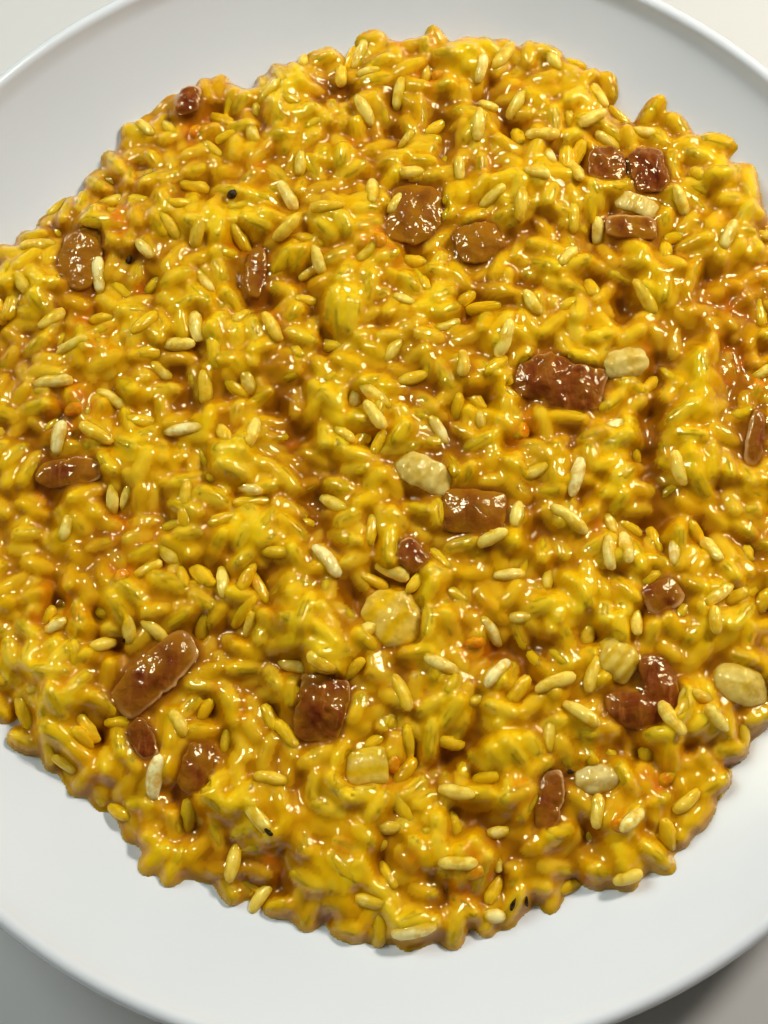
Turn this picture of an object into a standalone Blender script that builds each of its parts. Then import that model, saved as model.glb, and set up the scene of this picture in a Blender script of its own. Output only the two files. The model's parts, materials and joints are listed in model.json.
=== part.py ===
"""Pumpkin risotto with ham and onion, spread in a white coupe plate.

Metres, +Z up. The origin is the middle of the plate's foot, on the table.
Sizes below are in millimetres where they are lengths; MM turns them into metres.
"""
import math
import random

import bmesh
import bpy
from mathutils import Vector
from mathutils.geometry import delaunay_2d_cdt

MM = 0.001

# Plate
PLATE_RADIUS = 135.0
WELL_RADIUS = 78.0
WELL_HEIGHT = 7.0  # the eating surface in the middle
RIM_RISE = 20.0  # from the well to the inner edge of the lip
LIP_WIDTH = 4.0
WALL = 4.4
FOOT_OUTER = 71.0
FOOT_INNER = 62.0
FOOT_RECESS = 1.8
PLATE_STEPS = 48
PLATE_RINGS = (86.0, 96.0, 106.0, 115.0, 123.5)

# Risotto
HEAP_RADII = (112, 112, 113, 113, 114.5, 118, 117, 114.5, 111.5, 111.5, 109, 105.5, 112, 106.5, 104.5, 107.5,
              109, 109, 108.5, 109, 108, 108, 108, 104, 107, 107.5, 109, 112.5, 110, 108.5, 111.5, 112,
              106.5, 108.5, 110, 111)  # every 10 degrees, anticlockwise from +X
HEAP_TOP = 18.8
HEAP_FALL = 1.6  # how much lower the heap is near its edge than in the middle
EDGE_WIDTH = 10.0  # the band where the heap rounds down to the plate
EDGE_THICKNESS = 2.4
PLATE_GAP = 0.6
HEAP_SEED = 11
GRAIN_LENGTH = 5.6  # between the two ends of a grain's ridge
GRAIN_WIDTH = 3.7  # between the ridges of two grains side by side
GRAIN_RISE = (1.4, 2.8)  # how far grains stand above the core
GRAIN_TRIES = 40000
GRAIN_FOOT = ((4.6, 0.0), (-4.6, 0.0), (2.4, 1.8), (-2.4, 1.8), (2.4, -1.8), (-2.4, -1.8))  # round a grain
FOOT_SPACING = 1.5
GAP_SPACING = 3.4
GAP_TRIES = 30000
VALLEY_OFFSET = 1.6  # from a grain's ridge
OUTLINE_STEP = 2.7
OUTLINE_WAVE = 1.1  # the grains' bulges along the outline
OUTLINE_BELLY = 1.0  # how far the foot of the heap is set in under its side
SIDE_HEIGHT = 1.9

# Swells and dips in the heap: x, y, height, radius
SWELLS = (
    (-15, 42, 1.6, 17), (3, 8, 1.4, 14), (30, 72, 1.2, 18), (-48, 72, 1.0, 16), (-62, 20, 1.3, 17),
    (52, 38, 1.0, 14), (72, 12, 1.0, 16), (-30, -30, 1.2, 16), (22, -52, 1.4, 13), (-70, -30, 1.1, 16),
    (45, -28, 1.4, 14), (-8, -92, 1.0, 14), (82, 55, 0.8, 14), (-18, -46, 1.3, 12), (28, -92, 0.8, 12),
    (-26, 2, -2.2, 10), (-32, 46, -1.6, 8), (62, 24, -1.4, 9), (26, -34, -1.6, 10), (-57, -72, -2.4, 9),
    (-17, -78, -1.6, 7), (58, 3, -1.2, 7), (12, -72, -1.4, 8), (42, -68, -1.3, 8), (-78, 44, -0.8, 9),
    (16, 72, -1.2, 7), (-8, 62, -0.9, 8), (60, -92, 0.4, 9), (-40, 20, -1.0, 9), (-46, -46, -0.8, 9),
)

# Ham: name, x, y, length, width, turn in degrees, thickness, sink into the core, bend radius (0 is straight)
HAM = (
    ("ham_01", -50.5, 92.5, 8.5, 6.0, 80, 5.6, 1.6, 0),
    ("ham_02", -76.0, 50.0, 16.0, 10.0, 84, 3.0, 1.4, 0),
    ("ham_03", -32.5, 45.0, 14.5, 5.2, 86, 3.0, 1.2, 0),
    ("ham_04", -75.0, -6.0, 15.0, 7.0, 4, 3.0, 1.2, 0),
    ("ham_05", 55.0, 75.0, 10.4, 9.4, 80, 3.6, 1.2, 0),
    ("ham_06", 65.6, 73.0, 12.6, 9.4, 100, 4.4, 1.2, 0),
    ("ham_07", 60.0, 57.0, 12.5, 6.2, -6, 3.0, 1.0, 0),
    ("ham_08", 7.0, 61.0, 17.0, 14.0, 62, 3.0, 1.2, 0),
    ("ham_09", 22.0, 53.0, 12.5, 11.0, 25, 2.8, 1.2, 0),
    ("ham_10", 41.0, 15.5, 22.0, 13.5, -16, 4.4, 1.2, 0),
    ("ham_11", 19.8, -16.2, 14.5, 10.5, -3, 4.4, 1.4, 0),
    ("ham_12", 86.8, 1.8, 15.0, 4.2, 79, 4.0, 1.0, 0),
    ("ham_13", 5.5, -26.5, 8.0, 6.8, -55, 3.4, 1.0, 0),
    ("ham_14", 62.6, -36.4, 9.6, 7.2, 30, 3.6, 1.0, 0),
    ("ham_15", -52.8, -54.2, 24.0, 10.0, 47, 3.4, 1.0, 0),
    ("ham_16", -54.6, -68.6, 10.0, 5.4, -62, 4.0, 1.0, 0),
    ("ham_17", -42.6, -75.0, 11.5, 7.6, 72, 3.2, 1.2, 0),
    ("ham_18", -14.4, -62.0, 16.5, 12.0, 84, 4.2, 1.2, 0),
    ("ham_19", 59.0, -59.7, 21.0, 6.2, -132, 4.0, 1.2, 11.5),
    ("ham_20", 35.6, -81.5, 13.5, 6.0, 78, 3.4, 1.2, 0),
)

# Onion and leek, with the same columns
ONION = (
    ("onion_01", 57.2, 20.8, 10.4, 9.0, 20, 4.8, 1.0, 0),
    ("onion_02", 8.6, -6.8, 14.5, 7.6, -28, 4.2, 1.0, 0),
    ("onion_03", 1.4, -41.0, 16.5, 14.0, -40, 2.8, 0.4, 0),
    ("onion_04", -5.2, -74.6, 9.6, 8.2, 6, 3.2, 0.6, 0),
    ("onion_05", 52.0, -51.0, 10.4, 8.8, -40, 4.6, 0.8, 0),
    ("onion_06", 46.0, -77.0, 9.4, 7.2, 10, 4.0, 0.8, 0),
    ("onion_07", 79.6, -56.6, 13.4, 8.6, -22, 4.8, 1.2, 0),
    ("onion_08", 62.4, 63.4, 10.6, 5.0, -26, 3.2, 0.4, 0),
)

POCKET_GAP = 0.5  # below each piece
POCKET_MARGIN = 0.8  # beside each piece, at the floor of its pocket
POCKET_BRIM = 1.9  # beside each piece, where the heap's surface starts again
SQUARENESS = 3.0  # of the pieces' outlines: 2 is an ellipse
PIECE_SEGMENTS = 12
PIECE_RINGS = 4

HAM_COLOUR = (0.24, 0.055, 0.02)
ONION_COLOUR = (0.75, 0.55, 0.14)
RICE_COLOUR = (0.72, 0.40, 0.02)
PLATE_COLOUR = (0.76, 0.74, 0.70)


def clear_scene():
    for existing in list(bpy.data.objects):
        bpy.data.objects.remove(existing, do_unlink=True)


def make_material(name, colour, roughness):
    material = bpy.data.materials.new(name)
    material.use_nodes = True
    shader = material.node_tree.nodes["Principled BSDF"]
    shader.inputs["Base Color"].default_value = (*colour, 1.0)
    shader.inputs["Roughness"].default_value = roughness
    shader.inputs["Metallic"].default_value = 0.0
    return material


def plate_height(radius):
    """Height of the plate's inner surface, which is flat and then rises ever more steeply."""
    run = max(0.0, (radius - WELL_RADIUS) / (PLATE_RADIUS - LIP_WIDTH - WELL_RADIUS))
    return WELL_HEIGHT + RIM_RISE * run * run


def heap_radius(angle):
    """Radius of the heap's outline: a smooth closed curve through HEAP_RADII."""
    count = len(HEAP_RADII)
    place = (angle / math.tau % 1.0) * count
    step = int(place) % count
    t = place - int(place)
    before, start, end, after = (HEAP_RADII[(step + k) % count] for k in (-1, 0, 1, 2))
    return 0.5 * (2 * start + (end - before) * t + (2 * before - 5 * start + 4 * end - after) * t ** 2
                  + (3 * start - before - 3 * end + after) * t ** 3)


def core_height(x, y):
    """Height of the heap's smooth core, on which the grains and the toppings lie."""
    radius = math.hypot(x, y)
    outline = heap_radius(math.atan2(y, x))
    height = HEAP_TOP - HEAP_FALL * (radius / outline) ** 2
    for swell_x, swell_y, rise, reach in SWELLS:
        height += rise * math.exp(-((x - swell_x) ** 2 + (y - swell_y) ** 2) / reach ** 2)
    foot = plate_height(radius) + PLATE_GAP + EDGE_THICKNESS
    inward = min(1.0, max(0.0, (outline - radius) / EDGE_WIDTH))
    return foot + (height - foot) * inward * (2 - inward)


class Piece:
    """A topping's place on the heap: u runs along it and v across it, bent round an arc where it has a bend."""

    def __init__(self, name, x, y, length, width, turn, thickness, sink, bend):
        self.name = name
        self.centre = (x, y)
        self.half = (length / 2, width / 2)
        self.turn = math.radians(turn)
        self.thickness = thickness
        self.sink = sink
        self.bend = bend
        self.wobble = random.Random(name).uniform(0, math.tau)

    def unevenness(self, angle):
        return 1 + 0.08 * math.sin(3 * angle + self.wobble)

    def outline(self, angle, margin=0.0):
        """A point (u, v) on the piece's outline, grown by margin."""
        cos, sin = math.cos(angle), math.sin(angle)
        spread = (abs(cos) ** SQUARENESS + abs(sin) ** SQUARENESS) ** (-1 / SQUARENESS)
        uneven = self.unevenness(angle)
        return ((self.half[0] * uneven + margin) * cos * spread, (self.half[1] * uneven + margin) * sin * spread)

    def to_plan(self, u, v):
        """Where (u, v) lies, seen from above."""
        if self.bend:
            arc = u / self.bend
            u, v = (self.bend + v) * math.sin(arc), (self.bend + v) * math.cos(arc) - self.bend
        cos, sin = math.cos(self.turn), math.sin(self.turn)
        return self.centre[0] + u * cos - v * sin, self.centre[1] + u * sin + v * cos

    def holds(self, x, y, margin):
        """Whether a point lies within the piece's outline grown by margin."""
        dx, dy = x - self.centre[0], y - self.centre[1]
        cos, sin = math.cos(self.turn), math.sin(self.turn)
        u, v = dx * cos + dy * sin, dy * cos - dx * sin
        if self.bend:
            u, v = self.bend * math.atan2(u, v + self.bend), math.hypot(u, v + self.bend) - self.bend
        uneven = self.unevenness(math.atan2(v / self.half[1], u / self.half[0]))
        along = abs(u) / (self.half[0] * uneven + margin)
        across = abs(v) / (self.half[1] * uneven + margin)
        return along ** SQUARENESS + across ** SQUARENESS < 1

    def floor(self, x, y):
        """Height of the piece's underside."""
        return core_height(x, y) - self.sink


def pocket_height(x, y, pieces, margin):
    """Floor of the deepest pocket that holds a point, or None where there is no pocket."""
    floors = [piece.floor(x, y) - POCKET_GAP for piece in pieces if piece.holds(x, y, margin)]
    return min(floors, default=None)


def outline_points():
    """The heap's outline, with a bulge for each grain along it."""
    wobble = random.Random(HEAP_SEED)
    length = sum(heap_radius(math.radians(degree)) for degree in range(360)) * math.tau / 360
    count = round(length / OUTLINE_STEP)
    points = []
    for index in range(count):
        angle = math.tau * (index + wobble.uniform(-0.25, 0.25)) / count
        radius = heap_radius(angle) + wobble.uniform(-OUTLINE_WAVE, OUTLINE_WAVE)
        points.append((radius * math.cos(angle), radius * math.sin(angle)))
    return points


def segment_distance(point, start, end):
    """Distance from a point to a line between two others."""
    run, rise = end[0] - start[0], end[1] - start[1]
    along = ((point[0] - start[0]) * run + (point[1] - start[1]) * rise) / (run * run + rise * rise)
    along = min(1.0, max(0.0, along))
    return math.hypot(point[0] - start[0] - along * run, point[1] - start[1] - along * rise)


class Cells:
    """Points or ridges already placed, sorted into square cells so that near ones are found fast."""

    def __init__(self, size):
        self.size = size
        self.held = {}

    def cell(self, x, y):
        return math.floor(x / self.size), math.floor(y / self.size)

    def near(self, x, y):
        column, row = self.cell(x, y)
        return [thing for i in (-1, 0, 1) for j in (-1, 0, 1) for thing in self.held.get((column + i, row + j), ())]

    def add(self, x, y, thing):
        self.held.setdefault(self.cell(x, y), []).append(thing)


def ridge_apart(tips, other):
    """Whether two grains' ridges lie side by side without crossing."""
    gaps = [segment_distance(tip, *other) for tip in (*tips, midpoint(tips))]
    gaps += [segment_distance(tip, *tips) for tip in (*other, midpoint(other))]
    return min(gaps) >= GRAIN_WIDTH


def midpoint(tips):
    return ((tips[0][0] + tips[1][0]) / 2, (tips[0][1] + tips[1][1]) / 2)


def grain_ridges(pieces):
    """Two high points for each grain that shows, as (x, y, rise)."""
    draw = random.Random(HEAP_SEED)
    reach = max(HEAP_RADII)
    placed = Cells(GRAIN_LENGTH + GRAIN_WIDTH)
    points = []
    for _ in range(GRAIN_TRIES):
        x, y = draw.uniform(-reach, reach), draw.uniform(-reach, reach)
        turn, rise, tilt = draw.uniform(0, math.pi), draw.uniform(*GRAIN_RISE), draw.uniform(-0.6, 0.6)
        half = (GRAIN_LENGTH / 2 * math.cos(turn), GRAIN_LENGTH / 2 * math.sin(turn))
        tips = ((x - half[0], y - half[1]), (x + half[0], y + half[1]))
        if any(math.hypot(*tip) > heap_radius(math.atan2(tip[1], tip[0])) - GRAIN_WIDTH for tip in tips):
            continue
        if any(piece.holds(*tip, POCKET_BRIM + 0.6) for piece in pieces for tip in (*tips, (x, y))):
            continue
        if all(ridge_apart(tips, other) for other in placed.near(x, y)):
            placed.add(x, y, tips)
            points += [(*tips[0], rise - tilt), (*tips[1], rise + tilt)]
    return points


def valley_points(pieces, ridges):
    """Low points, as (x, y, 0): six round each grain, and more wherever the grains lie wide apart."""
    draw = random.Random(HEAP_SEED + 1)
    reach = max(HEAP_RADII)
    grains = Cells(GRAIN_LENGTH + GRAIN_WIDTH)
    tries = []
    for start, end in zip(ridges[::2], ridges[1::2]):
        x, y = midpoint((start, end))
        grains.add(x, y, (start[:2], end[:2]))
        along = ((end[0] - start[0]) / GRAIN_LENGTH, (end[1] - start[1]) / GRAIN_LENGTH)
        for u, v in GRAIN_FOOT:
            tries.append((x + u * along[0] - v * along[1], y + u * along[1] + v * along[0], FOOT_SPACING))
    tries += [(draw.uniform(-reach, reach), draw.uniform(-reach, reach), GAP_SPACING) for _ in range(GAP_TRIES)]
    taken = Cells(GAP_SPACING)
    points = []
    for x, y, spacing in tries:
        if math.hypot(x, y) > heap_radius(math.atan2(y, x)) - 2.4:
            continue
        if any(math.hypot(x - other[0], y - other[1]) < spacing for other in taken.near(x, y)):
            continue
        if any(segment_distance((x, y), *tips) < VALLEY_OFFSET for tips in grains.near(x, y)):
            continue
        if not any(piece.holds(x, y, POCKET_BRIM + 0.8) for piece in pieces):
            taken.add(x, y, (x, y))
            points.append((x, y, 0.0))
    return points


def pocket_points(pieces):
    """Rings of points round the pocket of each piece, and a few on its floor."""
    draw = random.Random(HEAP_SEED + 2)
    points = []
    rings = []
    for piece in pieces:
        count = round(math.pi * (piece.half[0] + piece.half[1]) / 2.4)
        ring = []
        for index in range(count):
            angle = math.tau * index / count
            x, y = piece.to_plan(*piece.outline(angle, POCKET_MARGIN))
            ring.append(len(points))
            points.append((x, y, 0.0))
            x, y = piece.to_plan(*piece.outline(angle, POCKET_BRIM))
            if pocket_height(x, y, pieces, POCKET_MARGIN + 0.3) is None:
                points.append((x, y, draw.uniform(0.6, 1.9)))
        rings.append(ring)
        for index in range(count // 3):
            u, v = piece.outline(math.tau * index / (count // 3), 0.0)
            points.append((*piece.to_plan(u * 0.5, v * 0.5), 0.0))
    return points, rings


def triangulate(points, loops, lines):
    """Delaunay triangles over the points inside the first loop, keeping the edges of the loops and the lines."""
    edges = [(loop[k - 1], loop[k]) for loop in loops for k in range(len(loop))] + lines
    plan = [Vector(point[:2]) for point in points]
    found, _, faces, sources, _, _ = delaunay_2d_cdt(plan, edges, [], 1, 1e-4)
    return found, faces, sources


def add_skin(mesh, points, loops, lines, height_of):
    """Adds a triangulated skin to a bmesh, and returns the vertices along the first loop."""
    found, faces, sources = triangulate(points, loops, lines)
    corners = []
    by_source = {}
    for place, source in zip(found, sources):
        rise = points[source[0]][2] if source else 0.0
        corner = mesh.verts.new((place.x, place.y, height_of(place.x, place.y, rise)))
        corners.append(corner)
        for index in source:
            by_source[index] = corner
    for face in faces:
        mesh.faces.new([corners[index] for index in face])
    return [by_source[index] for index in loops[0]]


def make_heap(collection, pieces, material):
    """The risotto: a dome with grain-sized bumps, with a pocket under each topping."""
    outline = outline_points()
    ridges = grain_ridges(pieces)
    valleys = valley_points(pieces, ridges)
    pockets, rings = pocket_points(pieces)
    first = len(outline)
    top_points = [(x, y, 0.0) for x, y in outline] + pockets + ridges + valleys
    loops = [list(range(first))] + [[first + index for index in ring] for ring in rings]
    start = first + len(pockets)
    lines = [(index, index + 1) for index in range(start, start + len(ridges), 2)]

    def top_height(x, y, rise):
        pocket = pocket_height(x, y, pieces, POCKET_MARGIN + 0.3)
        return core_height(x, y) + rise if pocket is None else pocket

    def under_height(x, y, rise):
        return plate_height(math.hypot(x, y)) + PLATE_GAP + rise

    mesh = bmesh.new()
    side = add_skin(mesh, top_points, loops, lines, top_height)
    for vertex in side:
        vertex.co.z = under_height(vertex.co.x, vertex.co.y, SIDE_HEIGHT)
    set_in = [(x * (1 - OUTLINE_BELLY / math.hypot(x, y)), y * (1 - OUTLINE_BELLY / math.hypot(x, y)))
              for x, y in outline]
    under_points = [(x, y, 0.0) for x, y in set_in] + [(0.0, 0.0, 0.0)]
    for radius, count in ((45.0, 12), (WELL_RADIUS, 36), (88.0, 40), (96.0, 48)):
        for index in range(count):
            angle = math.tau * index / count
            under_points.append((radius * math.cos(angle), radius * math.sin(angle), 0.0))
    foot = add_skin(mesh, under_points, [list(range(first))], [], under_height)
    for index in range(first):
        mesh.faces.new((side[index - 1], side[index], foot[index], foot[index - 1]))
    bmesh.ops.recalc_face_normals(mesh, faces=mesh.faces)
    bmesh.ops.scale(mesh, vec=(MM, MM, MM), verts=mesh.verts)
    return add_object(collection, "risotto", mesh, material)


def make_piece(collection, piece, wave, material):
    """A topping: a ball of few faces, flattened to a slab that follows the heap under it."""
    mesh = bmesh.new()
    bmesh.ops.create_uvsphere(mesh, u_segments=PIECE_SEGMENTS, v_segments=PIECE_RINGS, radius=1.0)
    for vertex in mesh.verts:
        across = math.hypot(vertex.co.x, vertex.co.y)
        angle = math.atan2(vertex.co.y, vertex.co.x) if across > 1e-6 else 0.0
        u, v = piece.outline(angle)
        spread = across ** 0.55
        x, y = piece.to_plan(u * spread, v * spread)
        level = 0.5 + 0.5 * math.copysign(abs(vertex.co.z) ** 0.8, vertex.co.z)
        ripple = wave * level * math.sin(0.75 * u * spread + piece.wobble) * math.cos(0.6 * v * spread)
        vertex.co = (x, y, piece.floor(x, y) + piece.thickness * level + ripple)
    bmesh.ops.scale(mesh, vec=(MM, MM, MM), verts=mesh.verts)
    return add_object(collection, piece.name, mesh, material)


def add_object(collection, name, mesh, material):
    """Turns a bmesh into a named, smooth-shaded object."""
    data = bpy.data.meshes.new(name)
    mesh.to_mesh(data)
    mesh.free()
    data.materials.append(material)
    data.shade_smooth()
    data.set_sharp_from_angle(angle=math.radians(50))
    made = bpy.data.objects.new(name, data)
    collection.objects.link(made)
    return made


def plate_profile():
    """Half section of the plate: up the inside from the middle, over the lip, and down outside to the foot."""
    lip = LIP_WIDTH / 2
    inner_edge = PLATE_RADIUS - LIP_WIDTH
    points = [(0.0, WELL_HEIGHT), (WELL_RADIUS, WELL_HEIGHT)]
    points += [(radius, plate_height(radius)) for radius in PLATE_RINGS]
    top = plate_height(inner_edge)
    for degrees in (160, 110, 60, 10, -50):
        angle = math.radians(degrees)
        points.append((inner_edge + lip + lip * math.cos(angle), top + lip * math.sin(angle)))
    for radius in (122.0, 108.0, 94.0, 82.0):
        points.append((radius + 1.5, plate_height(radius) - WALL))
    points += [(FOOT_OUTER + 1.2, WELL_HEIGHT - WALL), (FOOT_OUTER, 0.0), (FOOT_INNER, 0.0)]
    points += [(FOOT_INNER - 1.2, FOOT_RECESS), (0.0, FOOT_RECESS + 0.4)]
    return points


def make_plate(collection, material):
    """The plate, turned round Z from its half section."""
    profile = plate_profile()
    data = bpy.data.meshes.new("plate")
    edges = [(index, index + 1) for index in range(len(profile) - 1)]
    data.from_pydata([(radius * MM, 0.0, height * MM) for radius, height in profile], edges, [])
    data.materials.append(material)
    plate = bpy.data.objects.new("plate", data)
    collection.objects.link(plate)
    screw = plate.modifiers.new("turn", "SCREW")
    screw.axis = "Z"
    screw.angle = math.tau
    screw.steps = PLATE_STEPS
    screw.render_steps = PLATE_STEPS
    screw.use_merge_vertices = True
    screw.merge_threshold = 0.0001
    screw.use_smooth_shade = True
    return plate


def build():
    clear_scene()
    collection = bpy.data.collections.new("pumpkin_risotto")
    bpy.context.scene.collection.children.link(collection)
    glaze = make_material("plate_glaze", PLATE_COLOUR, 0.18)
    rice = make_material("sauced_rice", RICE_COLOUR, 0.30)
    ham = make_material("ham", HAM_COLOUR, 0.32)
    onion = make_material("onion", ONION_COLOUR, 0.28)
    ham_pieces = [Piece(*row) for row in HAM]
    onion_pieces = [Piece(*row) for row in ONION]
    make_plate(collection, glaze)
    make_heap(collection, ham_pieces + onion_pieces, rice)
    for piece in ham_pieces:
        make_piece(collection, piece, 0.5, ham)
    for piece in onion_pieces:
        make_piece(collection, piece, 0.25, onion)


build()
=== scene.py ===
import json
import math

import bpy
import numpy as np
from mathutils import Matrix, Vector, noise
from mathutils.bvhtree import BVHTree
from mathutils.geometry import delaunay_2d_cdt


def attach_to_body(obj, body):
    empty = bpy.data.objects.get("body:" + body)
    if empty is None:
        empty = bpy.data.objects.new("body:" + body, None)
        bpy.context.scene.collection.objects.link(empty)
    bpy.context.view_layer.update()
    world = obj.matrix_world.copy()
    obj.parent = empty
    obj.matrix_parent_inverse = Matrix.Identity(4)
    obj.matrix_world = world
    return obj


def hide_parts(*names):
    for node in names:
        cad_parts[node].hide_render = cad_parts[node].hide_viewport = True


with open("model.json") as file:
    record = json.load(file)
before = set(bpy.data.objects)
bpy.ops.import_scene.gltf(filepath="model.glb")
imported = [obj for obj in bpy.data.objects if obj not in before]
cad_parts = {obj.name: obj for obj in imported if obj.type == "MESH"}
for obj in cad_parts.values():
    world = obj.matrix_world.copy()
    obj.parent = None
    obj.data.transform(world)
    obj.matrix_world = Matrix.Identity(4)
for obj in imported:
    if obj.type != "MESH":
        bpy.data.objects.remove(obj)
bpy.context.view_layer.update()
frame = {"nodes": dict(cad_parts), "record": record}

mm = 0.001  # lengths below are in millimetres, meshes in metres
record = frame["record"]
slotOf = {part["node"]: part["material_slot"] for part in record["subparts"]}
hamNodes = sorted(node for node, slot in slotOf.items() if slot == "ham")
onionNodes = sorted(node for node, slot in slotOf.items() if slot == "onion")
print("frame loaded:", len(frame["nodes"]), "nodes")


studio = {
    "lookAt": (-0.92, -18.5, 28.0), "distance": 286.5, "tilt": 14.95, "fov": 44.0,
    "floorSize": 1400.0,
}


def addObject(name, data):
    thing = bpy.data.objects.new(name, data)
    bpy.context.scene.collection.objects.link(thing)
    return thing


# Puts a lamp at place, looking at target
def aimAt(thing, place, target):
    thing.location = Vector(place) * mm
    direction = Vector(target) * mm - thing.location
    thing.rotation_euler = direction.to_track_quat("-Z", "Y").to_euler()


def addCamera():
    camera = addObject("camera", bpy.data.cameras.new("camera"))
    camera.data.sensor_fit = "VERTICAL"
    camera.data.sensor_height = 36.0
    camera.data.lens = 18.0 / math.tan(math.radians(studio["fov"] / 2))
    camera.data.clip_start = 0.01
    tilt = math.radians(studio["tilt"])
    target = Vector(studio["lookAt"])
    back = Vector((0.0, -math.sin(tilt), math.cos(tilt)))
    camera.location = (target + back * studio["distance"]) * mm
    camera.rotation_euler = (tilt, 0.0, 0.0)
    bpy.context.scene.camera = camera


lamps = (
    # name, place, target, size, watts, colour, and whether it lights surfaces or only glints in them
    ("keyLamp", (400, 340, 440), (0, 0, 15), 115, 4.1, (1.0, 0.96, 0.91), True),
    ("windowLamp", (-560, 360, 560), (0, 0, 15), 460, 3.9, (0.84, 0.98, 1.0), True),
    ("fillLamp", (-520, -60, 560), (0, 0, 15), 620, 0.55, (1.0, 0.985, 0.96), True),
    ("keyGlint", (400, 340, 440), (0, 0, 15), 210, 5.6, (1.0, 0.90, 0.52), False),
    ("leftGlint", (-270, 320, 560), (0, 0, 15), 160, 2.8, (1.0, 0.94, 0.62), False),
)


def addLamps():
    for name, place, target, size, watts, colour, lights in lamps:
        lamp = addObject(name, bpy.data.lights.new(name, "AREA"))
        lamp.data.shape = "DISK"
        lamp.data.size = size * mm
        lamp.data.energy = watts
        lamp.data.color = colour
        lamp.visible_diffuse = lights
        lamp.visible_glossy = not lights
        aimAt(lamp, place, target)
    world = bpy.data.worlds.new("paleRoom")
    bpy.context.scene.world = world
    world.use_nodes = True
    setInputs(world.node_tree.nodes["Background"], {"Color": (1.0, 0.96, 0.85, 1.0), "Strength": 0.05})
    bpy.context.scene.view_settings.view_transform = "Standard"


def addFloor():
    size = studio["floorSize"] * mm / 2
    mesh = bpy.data.meshes.new("floor")
    corners = [(-size, -size, 0), (size, -size, 0), (size, size, 0), (-size, size, 0)]
    mesh.from_pydata(corners, [], [(0, 1, 2, 3)])
    floor = addObject("floor", mesh)
    paint = newMaterial("floorPaint")
    shader = paint.node_tree.nodes["Principled BSDF"]
    setInputs(shader, {"Base Color": (0.62, 0.60, 0.57, 1.0), "Roughness": 0.6})
    mesh.materials.append(paint)


def newMaterial(name):
    material = bpy.data.materials.new(name)
    material.use_nodes = True
    return material


def setInputs(node, values):
    for name, value in values.items():
        node.inputs[name].default_value = value


# Adds a node to the left of those already there
def addNode(material, kind, **settings):
    nodes = material.node_tree.nodes
    node = nodes.new(kind)
    node.location = (-220 * len(nodes), 0)
    for key, value in settings.items():
        setattr(node, key, value)
    return node


def joinNodes(material, *pairs):
    for source, target in pairs:
        material.node_tree.links.new(source, target)


def readAttribute(material, name, output="Fac"):
    return addNode(material, "ShaderNodeAttribute", attribute_name=name).outputs[output]


def addRamp(material, factor, stops):
    ramp = addNode(material, "ShaderNodeValToRGB")
    ramp.color_ramp.interpolation = "EASE"
    while len(ramp.color_ramp.elements) < len(stops):
        ramp.color_ramp.elements.new(0.5)
    for element, (position, colour) in zip(ramp.color_ramp.elements, stops):
        element.position = position
        element.color = (*colour, 1.0)
    joinNodes(material, (factor, ramp.inputs["Fac"]))
    return ramp.outputs["Color"]


# A grey from 0 to most where a factor runs from low to high
def addPatches(material, factor, low, high, most):
    return addRamp(material, factor, ((low, (0.0,) * 3), (high, (most,) * 3)))


# Lays a tint over a colour, as strongly as a factor says
def layTint(material, factor, under, tint, blend="MIX"):
    mix = addNode(material, "ShaderNodeMix", data_type="RGBA", blend_type=blend)
    mix.inputs[7].default_value = (*tint, 1.0)
    joinNodes(material, (factor, mix.inputs[0]), (under, mix.inputs[6]))
    return mix.outputs[2]


def addMath(material, operation, value, *constants):
    node = addNode(material, "ShaderNodeMath", operation=operation)
    for index, constant in enumerate(constants):
        node.inputs[index + 1].default_value = constant
    joinNodes(material, (value, node.inputs[0]))
    return node


# Noise on object coordinates; scale is in features per metre
def addNoise(material, scale, detail=3.0, roughness=0.5, distortion=0.0, stretch=None):
    noise = addNode(material, "ShaderNodeTexNoise")
    setInputs(noise, {"Scale": scale, "Detail": detail, "Roughness": roughness, "Distortion": distortion})
    source = addNode(material, "ShaderNodeTexCoord").outputs["Object"]
    if stretch:
        mapping = addNode(material, "ShaderNodeMapping")
        mapping.inputs["Scale"].default_value = stretch
        joinNodes(material, (source, mapping.inputs["Vector"]))
        source = mapping.outputs["Vector"]
    joinNodes(material, (source, noise.inputs["Vector"]))
    return noise.outputs["Fac"]


def addBump(material, height, distance, strength, under=None):
    bump = addNode(material, "ShaderNodeBump")
    setInputs(bump, {"Strength": strength, "Distance": distance * mm})
    joinNodes(material, (height, bump.inputs["Height"]))
    if under:
        joinNodes(material, (under, bump.inputs["Normal"]))
    return bump.outputs["Normal"]


# Sets the fixed values of a soft, wet food
def wetShader(material, roughness, coat, coatRoughness, scatter, radius, scatterScale):
    shader = material.node_tree.nodes["Principled BSDF"]
    shader.subsurface_method = "BURLEY"
    setInputs(shader, {
        "Roughness": roughness, "Coat Weight": coat, "Coat Roughness": coatRoughness, "Coat IOR": 1.42,
        "Specular IOR Level": 0.05, "Subsurface Weight": scatter, "Subsurface Radius": radius,
        "Subsurface Scale": scatterScale * mm,
    })
    return shader


# Joins a colour, the bumps of the food and those of the wet coat on it to the shader
def finishFood(material, shader, colour, bumps, wetBumps):
    joinNodes(material, (colour, shader.inputs["Base Color"]), (bumps, shader.inputs["Normal"]),
              (wetBumps, shader.inputs["Coat Normal"]))
    return material


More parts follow.
